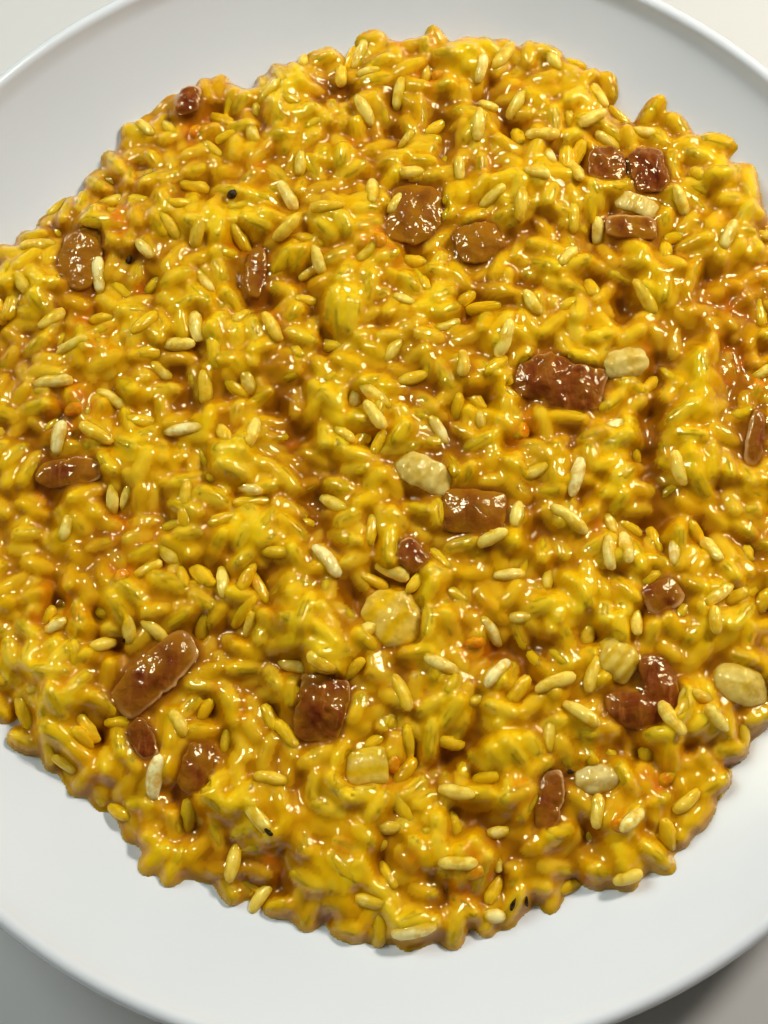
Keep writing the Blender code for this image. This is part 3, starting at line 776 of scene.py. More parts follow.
swells = (
    # from, to, width and rise of each mound or ridge of grains; a rise below zero is a hollow full of sauce
    ((-88, 50), (-88, 36), 6, 1.2), ((-71, 32), (-66, 30), 5, 1.1), ((-46, 56), (-36, 63), 5, 1.2),
    ((-42, 40), (-36, 28), 6, 1.3), ((-13, 54), (-6, 58), 6, 1.5), ((-10, 44), (-10, 30), 5, 1.4),
    ((8, 42), (12, 32), 5, 1.3), ((-36, -2), (-32, -22), 7, 1.8), ((-14, 14), (-10, 2), 5, 1.2),
    ((-2, 10), (2, 4), 5, 1.0), ((20, 10), (27, 1), 5, 1.2), ((28, 26), (34, 30), 4, 1.0),
    ((46, 30), (58, 24), 6, 1.3), ((32, 66), (42, 76), 5, 1.0), ((52, 12), (54, -6), 5, 1.2),
    ((52, -22), (55, -28), 5, 1.0), ((42, -36), (52, -42), 6, 1.4), ((2, -24), (8, -32), 5, 1.1),
    ((8, -52), (12, -62), 6, 1.5), ((26, -58), (26, -70), 6, 1.5), ((34, -72), (38, -66), 4, 0.9),
    ((-20, -42), (-13, -52), 6, 1.7), ((-72, -40), (-74, -56), 6, 1.3), ((-62, -36), (-58, -32), 4, 1.0),
    ((-38, -78), (-32, -84), 6, 1.2), ((-14, -82), (-4, -72), 6, 1.4), ((6, -84), (14, -94), 6, 1.4),
    ((-62, 8), (-60, 0), 5, 1.0), ((62, -64), (70, -60), 6, 1.2), ((52, -88), (58, -94), 6, 1.1),
    ((70, 14), (70, -4), 6, 1.3), ((84, 66), (80, 76), 6, 1.1), ((46, 90), (52, 86), 5, 1.1),
    ((-26, 96), (-22, 88), 6, 1.2), ((4, 104), (24, 106), 6, 1.1), ((62, 46), (66, 38), 5, 1.2),
    ((-8, -98), (2, -104), 5, 1.0), ((-38, 84), (-34, 76), 4, 0.8), ((76, -30), (78, -40), 6, 1.0),
    ((-27, 20), (-17, -17), 4, -2.2), ((-33, 50), (-27, 30), 4, -1.5), ((-19, 42), (-15, 26), 3, -1.6),
    ((9, 14), (16, -4), 4, -1.7), ((19, 34), (22, 40), 4, -1.5), ((57, 46), (59, 34), 3, -1.6),
    ((66, 22), (63, -14), 4, -1.9), ((24, -48), (36, -49), 4, -1.7), ((-69, -22), (-68, -34), 5, -1.5),
    ((-43, -18), (-40, -28), 3, -1.5), ((-28, -30), (-25, -40), 3, -1.5), ((-10, -34), (6, -54), 3, -2.0),
    ((12, -76), (18, -68), 4, -1.6), ((20, -84), (30, -94), 4, -1.7), ((-36, -94), (-24, -98), 5, -1.6),
    ((-14, -106), (-4, -102), 3, -1.0), ((74, -52), (76, -60), 3, -1.3), ((-58, 92), (-44, 92), 5, -1.3),
    ((-14, 98), (-8, 96), 4, -1.4), ((1, 96), (2, 82), 3, -1.3), ((13, 92), (15, 82), 3, -1.4),
    ((29, 96), (30, 86), 3, -1.3), ((60, 96), (62, 88), 4, -1.2), ((86, 38), (84, 4), 4, -1.3),
    ((-60, 50), (-60, 40), 4, -1.1), ((-50, 22), (-48, 10), 4, -1.1), ((48, 54), (54, 50), 4, -1.2),
    ((-48, -50), (-56, -58), 5, -0.9), ((20, -16), (38, -20), 4, -1.2), ((-84, 4), (-78, -12), 4, -1.1),
)


loose = (
    # x, y, length, turn and paleness of each clean grain lying on top
    (-71.5, 45, 10, 95, 0.9), (-60, 51, 6.5, -45, 0.8), (-78, 2, 9, 80, 0.9), (-69, 3, 9.5, -30, 0.5),
    (-48.5, 4.2, 11, 3, 0.9), (-44, 15, 9, 95, 0.5), (-82, 33, 8, 40, 0.6), (-59, 31, 9, 50, 0.4),
    (-42, 24, 10, 100, 0.4), (-47, 55, 9, 75, 0.5), (-12, -14, 11, -35, 0.6), (-14, -28, 10, -50, 0.9),
    (-26, -26, 8, -5, 0.4), (-3, 12, 10, -40, 0.6), (-3, 7, 9, -55, 0.6), (1, 24, 9, 55, 0.7),
    (-28, 30, 9, -60, 0.5), (-32, 3, 9, 80, 0.7), (-47, -12, 8, 90, 0.5), (-75, -20, 7, 80, 0.8),
    (-76, 25, 10, 20, 0.6), (-80, 16, 10, 5, 0.8), (28, 26, 10, 70, 0.7), (12, 4, 8.5, -60, 0.9),
    (54, 5, 9, 25, 0.9), (6, 17, 9, 20, 0.5), (18, 20, 7, 90, 0.6), (26, 20, 9, 45, 0.4),
    (44, -8, 10, 75, 0.9), (51, -26, 9, 95, 0.8), (54.8, -25, 9, 95, 0.8), (66.5, -26, 8, 90, 1.0),
    (63, 38, 11, -60, 0.5), (84, 54, 9, 65, 0.8), (44, 48, 8, 50, 0.7), (42, -18, 11, -40, 0.7),
    (35, -6, 7.5, 30, 0.7), (68, -6, 9, -75, 0.6), (75, -25, 8, -60, 0.7), (24, -23, 8, 25, 0.7),
    (28, -31, 8, 5, 0.8), (35, 36, 8, -60, 0.6), (4, 37, 7.5, -25, 0.7), (30, -17, 7, 80, 0.7),
    (-51.5, -77, 11, 80, 1.0), (24.5, -54, 8.5, 50, 0.9), (12, -52, 9, -25, 0.8),
    (65.5, 85, 9.5, -5, 0.9), (23, -106, 5.5, 0, 0.9), (24, -88.5, 6, 10, 0.8),
    (5.5, -109, 10.5, 10, 0.9), (24, 102, 8, 80, 0.8), (-59, -44, 8, -80, 0.6),
    (-53, -44, 9, -40, 0.6), (-5, -44, 6, 20, 0.7), (-47, -65, 7, -60, 0.6), (-28, -86, 10, -50, 0.7),
    (-34, -95, 9, 80, 0.6), (-15, -52, 7.5, -30, 0.5), (3, -58, 10, -65, 0.5), (14, -69, 7, -10, 0.4),
    (15, -80, 9, -10, 0.6), (15, -95, 9, 0, 0.7), (-4, -103, 9, -10, 0.6), (-26, -77, 8, -10, 0.5),
    (-23, -67, 9, -50, 0.4), (23.5, -44, 9, -55, 0.9), (30, -41, 6, 0, 0.8), (37.5, -56, 10, 20, 0.6),
    (46, -54, 9, 75, 0.6), (43, -63, 10, -35, 0.6), (36, -68, 8, 85, 0.6), (63, -64, 10, -60, 0.7),
    (73, -64, 8, -50, 0.7), (70, -59, 8, -15, 0.6), (53, -86, 8, 40, 0.8), (46, -84, 8, 85, 0.6),
    (75, -36, 10, 35, 0.6), (74, -42, 7, 90, 0.5), (80, -67, 8, 90, 0.5), (66, -82, 8, 40, 0.5),
    (52, -98, 7, 20, 0.6), (-62, 86, 7, -40, 0.6), (-56, 86, 7, -50, 0.5), (-25, 66, 9, -60, 0.8),
    (-22, 75, 7, 90, 0.7), (-4, 67, 10, 90, 0.7), (-6, 90, 9, -60, 0.7), (-5, 102, 7, 0, 0.7),
    (-12, 102, 6.5, 90, 0.5), (-22, 107, 7, 90, 0.6), (-30, 96, 9, 45, 0.6), (-34, 83, 8, -70, 0.6),
    (-15, 61, 9, 0, 0.5), (-25, 56, 9, 40, 0.5), (-54, 57, 9, -50, 0.5), (-52, 63, 8, 10, 0.4),
    (-84, 66, 9, 55, 0.6), (-87, 53, 9, 10, 0.6), (26, 93, 6.5, -35, 0.7), (23, 85, 9, 85, 0.7),
    (33, 92, 9, 60, 0.7), (30, 106, 10, 55, 0.6), (43, 104, 7, -60, 0.6), (54, 95, 9, -65, 0.6),
    (52, 87, 9, 35, 0.6), (39, 82, 9, 0, 0.6), (18, 73, 7, 90, 0.7), (6, 72, 8, 10, 0.6),
    (2, 64, 7, 60, 0.6), (47, 72, 9, -70, 0.6), (37, 70, 7, -20, 0.6), (26, 65, 9, 40, 0.6),
    (73, 64, 9, -65, 0.7), (46, 59, 8, 90, 0.5), (33, 62, 9, 85, 0.5), (3, 96, 9, 80, 0.6),
    (10, 102, 7, 90, 0.5), (5, 83, 7, 50, 0.6),
)
crumbs = {"pepperThick": 1.4, "pepperRise": 0.3, "pumpkinThick": 2.6, "pumpkinRise": -0.2, "uneven": 0.5}
specks = (
    # x, y, length, width and turn of each pepper speck
    (-39, 66, 3.0, 2.4, 20), (-51, 25, 1.6, 1.2, 0), (-60, -46, 1.4, 1.2, 40),
    (40.5, -75.5, 1.6, 1.2, 10), (-26, -88.5, 2.6, 1.1, -35), (27, -103.5, 3.4, 0.9, 70),
    (30, -103, 2.6, 0.8, 100), (-64, 49, 2.2, 1.4, 60),
)
bits = (
    # x, y, length, width and turn of each crumb of pumpkin
    (18.5, -97, 4.5, 3.4, 30), (1, -74, 4.2, 3.2, 80), (19.5, -47, 4.6, 3.0, 10), (32, 4, 3.6, 4.6, 0),
    (-75, 9, 5.0, 3.4, 15), (-49, 85, 4.0, 3.0, 60), (-2, 52, 4.4, 3.2, 100), (-76, -37, 3.8, 3.0, 20),
    (-61, -32, 4.2, 3.0, 70), (62, -77, 5.0, 3.2, 40), (50, -87, 4.0, 3.0, 0), (13, 101, 3.6, 2.8, 30),
)


# Height of the mounds above the plain heap, and depth of the hollows
def swellRise():
    rise = np.zeros_like(gridX)
    for (x1, y1), (x2, y2), width, height in swells:
        run, climb = x2 - x1, y2 - y1
        share = ((gridX - x1) * run + (gridY - y1) * climb) / (run ** 2 + climb ** 2)
        share = np.clip(share, 0, 1)
        away = np.hypot(gridX - x1 - share * run, gridY - y1 - share * climb) / width
        rise += height * np.exp(-away ** 2)
    return np.clip(rice["swellGain"] * rise, *rice["swellRange"])


# Drops grains one by one on the lowest of a few places, each turned the way it sinks in deepest
def pourRice(form, inward, toppings, rise):
    draw = np.random.default_rng(rice["seed"])
    cell = field["cell"]
    plate = plateHeight(gridR)
    edge = inward + lumps(21, 5.0) * 0.8
    piles = sum(lumps(seed, size) * tall for seed, size, tall in rice["piles"])
    target = form + rice["above"] + rise + piles
    target = np.minimum(target, plate + 2.6 + np.maximum(0, inward) * 1.5)
    height = np.where(inward > 2.0, np.maximum(plate, form - rice["depth"]), plate)
    blocked = np.isfinite(toppings)
    keep = blur(blocked.astype(float), 0.8) > 0.5
    height = np.where(blocked, np.maximum(height, toppings), height)
    free = (edge > 0.4) & ~keep
    ground0 = height.copy()
    half = int(math.ceil(rice["patch"] / cell))
    patch = np.arange(-half, half + 1) * cell
    patchX, patchY = np.meshgrid(patch, patch)
    grains, stamps = [], []
    failures = 0
    for _ in range(rice["tries"]):
        if failures > rice["failures"]:
            break
        spots = draw.integers(half + 3, side - half - 3, (rice["spots"], 2))
        lack = np.where(free[spots[:, 0], spots[:, 1]], (target - height)[spots[:, 0], spots[:, 1]], -50)
        best = lack.argmax()
        length, width = draw.uniform(*rice["length"]), draw.uniform(*rice["width"])
        thick = draw.uniform(*rice["thickness"])
        yaws, shifts = draw.uniform(0, math.pi, rice["turns"]), draw.integers(-2, 3, (rice["turns"], 2))
        sink, jitter = draw.uniform(*rice["sink"]), draw.normal(0, 0.06)
        if lack[best] < rice["lack"]:
            failures += 1
            continue
        choice = None
        for yaw, shift in zip(yaws, shifts):
            row, column = spots[best] + shift
            ground = height[row - half:row + half + 1, column - half:column + half + 1]
            u = patchX * math.cos(yaw) + patchY * math.sin(yaw)
            v = patchY * math.cos(yaw) - patchX * math.sin(yaw)
            fill = 1 - np.abs(2 * u / length) ** 3.2 - (2 * v / width) ** 2
            under = fill > 0
            slope = (ground[under & (u > length * 0.2)].mean() - ground[under & (u < -length * 0.2)].mean())
            slope = float(np.clip(slope / (0.62 * length) + jitter, -0.5, 0.5))
            bulge = 0.5 * thick * np.sqrt(np.maximum(fill, 0))
            level = float((ground - u * slope + bulge)[under].max()) - sink
            covered = keep[row - half:row + half + 1, column - half:column + half + 1][under].mean()
            if choice is None or level + 8.0 * covered < choice[0]:
                choice = (level + 8.0 * covered, covered, level, row, column, yaw, slope, u, bulge, under)
        _, covered, level, row, column, yaw, slope, u, bulge, under = choice
        if covered > rice["onTopping"]:
            failures += 1
            continue
        rows, columns = slice(row - half, row + half + 1), slice(column - half, column + half + 1)
        ground = height[rows, columns]
        top = level + u * slope + bulge
        if (top - target[rows, columns])[under].mean() > rice["overTop"] or not free[row, column]:
            failures += 1
            continue
        failures = 0
        raised = under & (top > ground)
        height[rows, columns] = np.where(raised, top, ground)
        stamps.append((rows, columns, np.where(under, top, -99.0)))
        grains.append((axis[column], axis[row], level, length, width, thick, yaw, math.atan(slope)))
    print("rice poured:", len(grains), "grains")
    return np.array(grains), ground0, stamps


# Heap height with only some of the grains in it, and which grain is on top of each cell
def stackGrains(ground, stamps, used):
    height = ground.copy()
    owner = np.full((side, side), -1)
    for index in np.flatnonzero(used):
        rows, columns, top = stamps[index]
        raised = top > height[rows, columns]
        height[rows, columns] = np.where(raised, top, height[rows, columns])
        owner[rows, columns] = np.where(raised, index, owner[rows, columns])
    return height, owner


# One cooked grain of unit half sizes, blunt at both ends, with a small nick where its germ was
def grainMesh(name, bend, taper, notch):
    around, rings = rice["segments"], rice["rings"]
    points = []
    for ring in range(rings + 1):
        x = math.cos(math.pi * ring / rings)
        girth = math.sqrt(max(0.0, 1 - abs(x) ** 3.2)) * (1 + taper * x)
        for index in range(around if 0 < ring < rings else 1):
            angle = math.tau * index / around
            y, z = girth * math.cos(angle), girth * math.sin(angle)
            dent = notch * math.exp(-((x - 0.72) / 0.16) ** 2) * max(0.0, y)
            points.append((x, y - dent + bend * (x * x - 0.4), z))
    data = bpy.data.meshes.new(name)
    data.from_pydata(points, [], bodyFaces(rings - 1, around))
    data.shade_smooth()
    return addObject(name, data)


# Geometry Nodes: one of the shapes on every point, turned and sized by the points' attributes
def scatterTree(name, shapes):
    tree = bpy.data.node_groups.new(name, "GeometryNodeTree")
    inputs = [("Points", "Geometry"), *((shape.name, "Object") for shape in shapes)]
    inputs += [("Size", "Float"), ("Unevenness", "Float"), ("Paint", "Material")]
    sockets = {}
    for label, kind in inputs:
        socket = tree.interface.new_socket(name=label, in_out="INPUT", socket_type="NodeSocket" + kind)
        sockets[label] = socket.identifier
    tree.interface.new_socket(name="Geometry", in_out="OUTPUT", socket_type="NodeSocketGeometry")

    def add(kind, **settings):
        node = tree.nodes.new(kind)
        node.location = (220 * len(tree.nodes), 0)
        for key, value in settings.items():
            setattr(node, key, value)
        return node

    def named(label, kind):
        read = add("GeometryNodeInputNamedAttribute", data_type=kind)
        read.inputs["Name"].default_value = label
        return read.outputs["Attribute"]

    def join(*pairs):
        for source, target in pairs:
            tree.links.new(source, target)

    entry, leave = add("NodeGroupInput"), add("NodeGroupOutput")
    bundle = add("GeometryNodeGeometryToInstance")
    for shape in reversed(shapes):
        info, place = add("GeometryNodeObjectInfo"), add("GeometryNodeInputPosition")
        store = add("GeometryNodeStoreNamedAttribute", data_type="FLOAT_VECTOR", domain="POINT")
        store.inputs["Name"].default_value = "grainPlace"
        join((entry.outputs[shape.name], info.inputs["Object"]),
             (info.outputs["Geometry"], store.inputs["Geometry"]),
             (place.outputs["Position"], store.inputs["Value"]),
             (store.outputs["Geometry"], bundle.inputs["Geometry"]))
    scale = add("ShaderNodeVectorMath", operation="SCALE")
    put = add("GeometryNodeInstanceOnPoints")
    put.inputs["Pick Instance"].default_value = True
    join((named("size", "FLOAT_VECTOR"), scale.inputs[0]),
         (entry.outputs["Size"], scale.inputs["Scale"]),
         (entry.outputs["Points"], put.inputs["Points"]),
         (bundle.outputs["Instances"], put.inputs["Instance"]),
         (named("kind", "INT"), put.inputs["Instance Index"]),
         (named("turn", "FLOAT_VECTOR"), put.inputs["Rotation"]),
         (scale.outputs["Vector"], put.inputs["Scale"]))
    realize, swell = add("GeometryNodeRealizeInstances"), add("GeometryNodeSetPosition")
    lumpy = add("ShaderNodeTexNoise")
    setInputs(lumpy, {"Scale": 330.0, "Detail": 1.0})
    centred = add("ShaderNodeMath", operation="SUBTRACT")
    centred.inputs[0].default_value = 0.5
    amount = add("ShaderNodeMath", operation="MULTIPLY")
    push = add("ShaderNodeVectorMath", operation="SCALE")
    normal, finish = add("GeometryNodeInputNormal"), add("GeometryNodeSetMaterial")
    join((put.outputs["Instances"], realize.inputs["Geometry"]),
         (realize.outputs["Geometry"], swell.inputs["Geometry"]),
         (lumpy.outputs["Fac"], centred.inputs[1]),
         (centred.outputs["Value"], amount.inputs[0]),
         (entry.outputs["Unevenness"], amount.inputs[1]),
         (normal.outputs["Normal"], push.inputs[0]),
         (amount.outputs["Value"], push.inputs["Scale"]),
         (push.outputs["Vector"], swell.inputs["Offset"]),
         (swell.outputs["Geometry"], finish.inputs["Geometry"]),
         (entry.outputs["Paint"], finish.inputs["Material"]),
         (finish.outputs["Geometry"], leave.inputs["Geometry"]))
    return tree, sockets


# Copies of the shapes as one mesh: points in millimetres, turns as Euler angles
def scatter(name, shapes, points, turns, sizes, kinds, tints, uneven, paint):
    cloud = bpy.data.meshes.new(name + "Points")
    cloud.from_pydata([tuple(point) for point in np.asarray(points) * mm], [], [])
    for label, values in (("turn", turns), ("size", np.asarray(sizes) * mm)):
        attribute = cloud.attributes.new(label, "FLOAT_VECTOR", "POINT")
        attribute.data.foreach_set("vector", np.asarray(values, dtype=np.float32).ravel())
    kind = cloud.attributes.new("kind", "INT", "POINT")
    kind.data.foreach_set("value", np.asarray(kinds, dtype=np.int32))
    setAttribute(cloud, "tint", tints)
    holder = addObject(name + "Points", cloud)
    tree, sockets = scatterTree(name + "Tree", shapes)
    modifier = holder.modifiers.new("scatter", "NODES")
    modifier.node_group = tree
    values = {shape.name: shape for shape in shapes}
    values.update({"Size": 1.0, "Unevenness": uneven * mm * 2, "Paint": paint})
    for label, value in values.items():
        modifier[sockets[label]] = value
    made = bake(holder, name)
    made.data.shade_smooth()
    for shape in shapes:
        bpy.data.objects.remove(shape, do_unlink=True)
    return made


# Rows of scattered pieces lying on the sauce at the slope it has there
def layOn(surface, places, thick, lift):
    rows = []
    for x, y, length, width, turn in places:
        yaw = math.radians(turn)
        stepX, stepY = 0.3 * length * math.cos(yaw), 0.3 * length * math.sin(yaw)
        climb = float(sample(surface, x + stepX, y + stepY) - sample(surface, x - stepX, y - stepY))
        slope = math.atan(max(-0.5, min(0.5, climb / (0.6 * length))))
        rows.append((x, y, float(sample(surface, x, y)) + lift, length, width, thick, yaw, slope))
    return np.array(rows)


# Small lumps of one kind, half sunk in the sauce
def makeLumps(name, surface, places, thick, lift, paint):
    rows = layOn(surface, places, thick, lift)
    shapes = [grainMesh(name + "Long", 0.1, 0.25, 0.4),
              grainMesh(name + "Blunt", -0.15, -0.2, 0.5)]
    turns = np.stack([0 * rows[:, 6], -rows[:, 7], rows[:, 6]], 1)
    kinds = np.arange(len(rows)) % 2
    tints = np.ones(len(rows))
    piece = scatter(name, shapes, rows[:, :3], turns, rows[:, 3:6] / 2, kinds, tints,
                    crumbs["uneven"], paint)
    attach(piece, "sauced_rice")
    return piece


# The grains that show, as one mesh
def makeRice(grains, bare, tints, paint):
    shown = np.flatnonzero(bare)
    shapes = [grainMesh("plainGrain", 0.0, 0.05, 0.25), grainMesh("bentGrain", 0.16, -0.08, 0.1),
              grainMesh("fatGrain", 0.07, 0.12, 0.35)]
    draw = np.random.default_rng(rice["seed"] + 1)
    rows = grains[shown]
    turns = np.stack([draw.normal(0, 0.35, len(rows)), -rows[:, 7], rows[:, 6]], 1)
    flip = draw.random(len(rows)) < 0.5
    turns[flip, 2] += math.pi
    turns[flip, 1] *= -1
    piece = scatter("riceGrains", shapes, rows[:, :3], turns, rows[:, 3:6] / 2,
                    draw.integers(0, 3, len(rows)), tints[shown], rice["uneven"], paint)
    attach(piece, "sauced_rice")
    return piece


# Of the tone settings, all but the first and toneDepth paint light on crests and mounds and shade in hollows;
# toneDepth darkens thick sauce, partly for its own deeper amber and partly as painted shade in crevices
sauce = {
    "thinRadius": 1.6, "thickRadius": 2.8, "slope": 1.5, "skirt": 2.0, "deepest": 3.2,
    "floodLevel": 0.28, "floodCoat": 0.34, "cover": (0.06, 0.28), "soften": 0.48, "filmWidth": 1.1,
    "tone": 0.60, "paintedFineShadingGain": 0.07, "paintedBroadShadingGain": 0.14, "toneDepth": 0.09, "paintedSwellShadingGain": 0.11,
}
stains = (
    # x, y, reach and strength of an orange stain
    (18.5, -97, 6, 0.8), (1, -74, 5, 0.7), (19.5, -47, 5, 0.6), (32, 4, 5, 0.7), (-75, 9, 6, 0.8),
    (-49, 85, 6, 0.7), (-34, 76, 6, 0.5), (-2, 52, 7, 0.6), (-76, -37, 6, 0.6), (-61, -32, 5, 0.6),
    (13, 101, 5, 0.5), (85, 40, 7, 0.5), (84, 22, 6, 0.5), (50, -87, 5, 0.6), (62, -77, 6, 0.6),
    (48, 12, 6, 0.4), (-60, -20, 6, 0.5), (-66, 62, 6, 0.5), (70, -20, 5, 0.3), (-20, -85, 5, 0.3),
    (-44, -84, 5, 0.4), (24, 18, 5, 0.3), (-70, 28, 6, 0.5), (88, -20, 6, 0.3),
)


# Which grains lie bare on top, how thick sauce lies on the others, and the tint of each, paler on mounds and
# darker in hollows as painted light and shade
def dressGrains(grains, stamps, owner, flood, rise):
    draw = np.random.default_rng(7)
    count = len(grains)
    wetness = sample(flood, grains[:, 0], grains[:, 1])
    seen = np.bincount(owner[owner >= 0], minlength=count)
    whole = np.array([(top > -50).sum() for _, _, top in stamps])
    chance = rice["bareShare"] * (1 - 0.7 * wetness)
    bare = (seen > rice["topShare"] * whole) & (draw.random(count) < chance)
    clean = bare & (draw.random(count) < rice["cleanShare"])
    coat = draw.uniform(*sauce["cover"], count)
    for x, y, _, _, _ in loose:
        bare &= np.hypot(grains[:, 0] - x, grains[:, 1] - y) > rice["looseGap"]
    clean &= bare
    tint = np.where(clean, draw.uniform(0.35, 0.8, count), draw.uniform(0.05, 0.45, count))
    # Painted light on grains on the mounds and painted shade on grains in the hollows
    tint = np.clip(tint + 0.06 * sample(rise, grains[:, 0], grains[:, 1]), 0, 1)
    return {"bare": bare, "coat": coat, "tint": tint}


# Height of the sauce over everything, the solid surface under it, and what shows in or through it
def spreadSauce(height, coat, flood, toppings, hams, covers):
    mask = np.isfinite(toppings)
    inside = blur(mask.astype(float), 1.0)
    tops = blur(np.nan_to_num(toppings) * mask, 1.0) / np.maximum(inside, 1e-3)
    solid = np.where(mask, tops - 1.3, height)
    solid = np.maximum(solid, blur(solid, 2.4) - sauce["deepest"])
    around = blur(mask.astype(float), 1.6)
    flooded = np.maximum(flood, np.clip(around * 2.0, 0, 0.6))
    thin, thick = wetOver(solid, sauce["thinRadius"]), wetOver(solid, sauce["thickRadius"])
    surface = drape(thin * (1 - flooded) + thick * flooded, sauce["slope"], sauce["skirt"])
    coat = blur(coat, 0.45) * (1 - 0.7 * flooded) + flooded * sauce["floodCoat"]
    surface = blur(surface, sauce["soften"])
    rise, run = np.gradient(surface, field["cell"])
    steep = blur(np.clip(np.hypot(rise, run) - 1.0, 0, 1), 0.6)
    soft = np.clip(np.maximum(0.8 * flooded, 1.6 * steep), 0, 1)
    surface = surface * (1 - soft) + blur(surface, 0.8) * soft
    surface = surface + coat + (0.08 * lumps(34, 2.6) + 0.22 * lumps(36, 6.0)) * (0.2 + 0.8 * flooded)
    within = inside + 0.13 * lumps(37, 4.0) - covers - 0.04
    dip = np.interp(within, (0.05, 0.40, 0.55, 0.95), (-4.0, -0.3, 0.25, 0.9))
    surface = np.minimum(surface, np.where(inside > 0.02, tops, 99.0) - dip)
    plate = plateHeight(gridR)
    near = blur((height > plate + 0.6).astype(float), sauce["filmWidth"])
    near = (near + 0.05 * lumps(33, 12.0) + 0.03 * lumps(38, 4.0)) * (near > 0.01)
    surface = surface - np.interp(near, (0.0, 0.12, 0.24, 0.5), (1.5, 0.55, 0.1, 0.0))
    film = np.clip(1.2 - (surface - plate) / 0.6, 0, 1) * np.clip(1.4 - 2 * near, 0, 1)
    hamInside = blur(np.isfinite(hams).astype(float), 0.8)
    thinOver = np.clip(1.15 - (surface - tops) / 0.9, 0, 1)
    hamUnder = np.clip(2.2 * hamInside, 0, 1) * thinOver * (inside > 0.03)
    return surface, solid, {"film": film, "hamUnder": hamUnder}


# Tone from 0 in deep sauce to 1 where it is thin over a crest, with painted light on crests and mounds and
# painted shade in hollows, and the orange stains
def sauceTonesWithPaintedShading(surface, solid, rise):
    thickness = np.clip(surface - solid, -0.4, 3.0)
    # Painted shading: the sauce is made lighter where it stands above its blurred self and darker where it
    # lies below, at two sizes
    paintedFineShading = surface - blur(surface, 1.8)
    paintedBroadShading = surface - blur(surface, 5.5)
    value = sauce["tone"] + sauce["paintedFineShadingGain"] * paintedFineShading + sauce["paintedBroadShadingGain"] * paintedBroadShading
    # Thick sauce is darker, partly for its own deeper amber and partly as painted shade where it pools in
    # crevices
    value = value - sauce["toneDepth"] * thickness + 0.05 * lumps(41, 8.0)
    # Painted light on the mounds and painted shade in the hollows of the swells; the lumps are a random tone
    value += sauce["paintedSwellShadingGain"] * rise + 0.07 * lumps(44, 26.0)
    value = np.clip(value, 0, 1)
    stain = np.zeros_like(surface)
    for x, y, reach, strength in stains:
        away = np.hypot(gridX - x, gridY - y) / reach
        stain = np.maximum(stain, strength * np.exp(-away ** 2))
    ragged = np.clip(0.55 + 0.45 * lumps(42, 3.0), 0, 1.3)
    scattered = np.clip(lumps(43, 7.0) - 1.35, 0, 1) * 0.5
    return value, np.clip((stain + scattered) * ragged, 0, 0.8)


def fieldNormals(values):
    rise, run = np.gradient(values, field["cell"])
    length = np.sqrt(rise ** 2 + run ** 2 + 1)
    return np.stack([-run / length, -rise / length, 1 / length], -1)


# Fills the gaps in a mask of cells that no side-by-side path joins to its rim
def withoutGaps(cells):
    outside = np.zeros_like(cells)
    outside[[0, -1]] = outside[:, [0, -1]] = True
    outside &= ~cells
    while True:
        grown = outside.copy()
        grown[1:] |= outside[:-1]
        grown[:-1] |= outside[1:]
        grown[:, 1:] |= outside[:, :-1]
        grown[:, :-1] |= outside[:, 1:]
        grown &= ~cells
        if (grown == outside).all():
            return ~outside
        outside = grown


# The part of the sauce between two rows of the field, as a closed body standing on the plate
def sauceMesh(name, surface, rows, attributes, paint):
    plate = plateHeight(gridR)
    wet = surface > plate + 0.02
    level = np.where(wet, surface, plate - 0.5)
    low, high = rows
    quads = withoutGaps(wet[:-1, :-1] | wet[1:, :-1] | wet[:-1, 1:] | wet[1:, 1:])
    quads[:low] = False
    quads[high:] = False
    used = np.zeros((side, side), bool)
    used[:-1, :-1] |= quads
    used[1:, :-1] |= quads
    used[:-1, 1:] |= quads
    used[1:, 1:] |= quads
    number = np.full((side, side), -1)
    number[used] = np.arange(used.sum())
    points = np.stack([gridX[used], gridY[used], level[used]], 1)
    row, column = np.nonzero(quads)
    faces = np.stack([number[row, column], number[row, column + 1], number[row + 1, column + 1],
                      number[row + 1, column]], 1)
    loop = borderLoop(faces)
    normals = fieldNormals(level)[used]
    under = points[loop].copy()
    under[:, 2] = np.minimum(plateHeight(np.hypot(under[:, 0], under[:, 1])) + 0.1, under[:, 2] - 0.05)
    first = len(points)
    count = len(loop)
    wall = [(loop[k], first + k, first + (k + 1) % count, loop[(k + 1) % count]) for k in range(count)]
    base, baseFaces = underside(under, axis[low], axis[min(high, side - 1)])
    allPoints = np.concatenate([points, under, base])
    mesh = bpy.data.meshes.new(name)
    everyFace = [tuple(int(i) for i in face) for face in faces] + wall
    everyFace += [tuple(first + index for index in face) for face in baseFaces]
    mesh.from_pydata([tuple(point) for point in allPoints * mm], [], everyFace)
    mesh.shade_smooth()
    rest = len(allPoints) - first
    for label, values in attributes.items():
        setAttribute(mesh, label, np.concatenate([values[used], np.zeros(rest)]))
    down = np.tile((0.0, 0.0, -1.0), (rest, 1))
    mesh.normals_split_custom_set_from_vertices(np.concatenate([normals, down]).tolist())
    mesh.materials.append(paint)
    return addObject(name, mesh)


# The outer border of a sheet of quads, in order; faces run anticlockwise, and so does it
def borderLoop(faces):
    starts = faces.ravel()
    ends = np.roll(faces, -1, axis=1).ravel()
    key = starts.astype(np.int64) * 10 ** 7 + ends
    mirrored = ends.astype(np.int64) * 10 ** 7 + starts
    open_ = ~np.isin(key, mirrored)
    follows = {}
    for start, end in zip(starts[open_], ends[open_]):
        follows.setdefault(int(start), []).append(int(end))
    best = []
    while follows:
        first = next(iter(follows))
        loop, here = [], first
        while here in follows:
            loop.append(here)
            options = follows[here]
            after = options.pop()
            if not options:
                del follows[here]
            here = after
        if len(loop) > len(best):
            best = loop
    return best


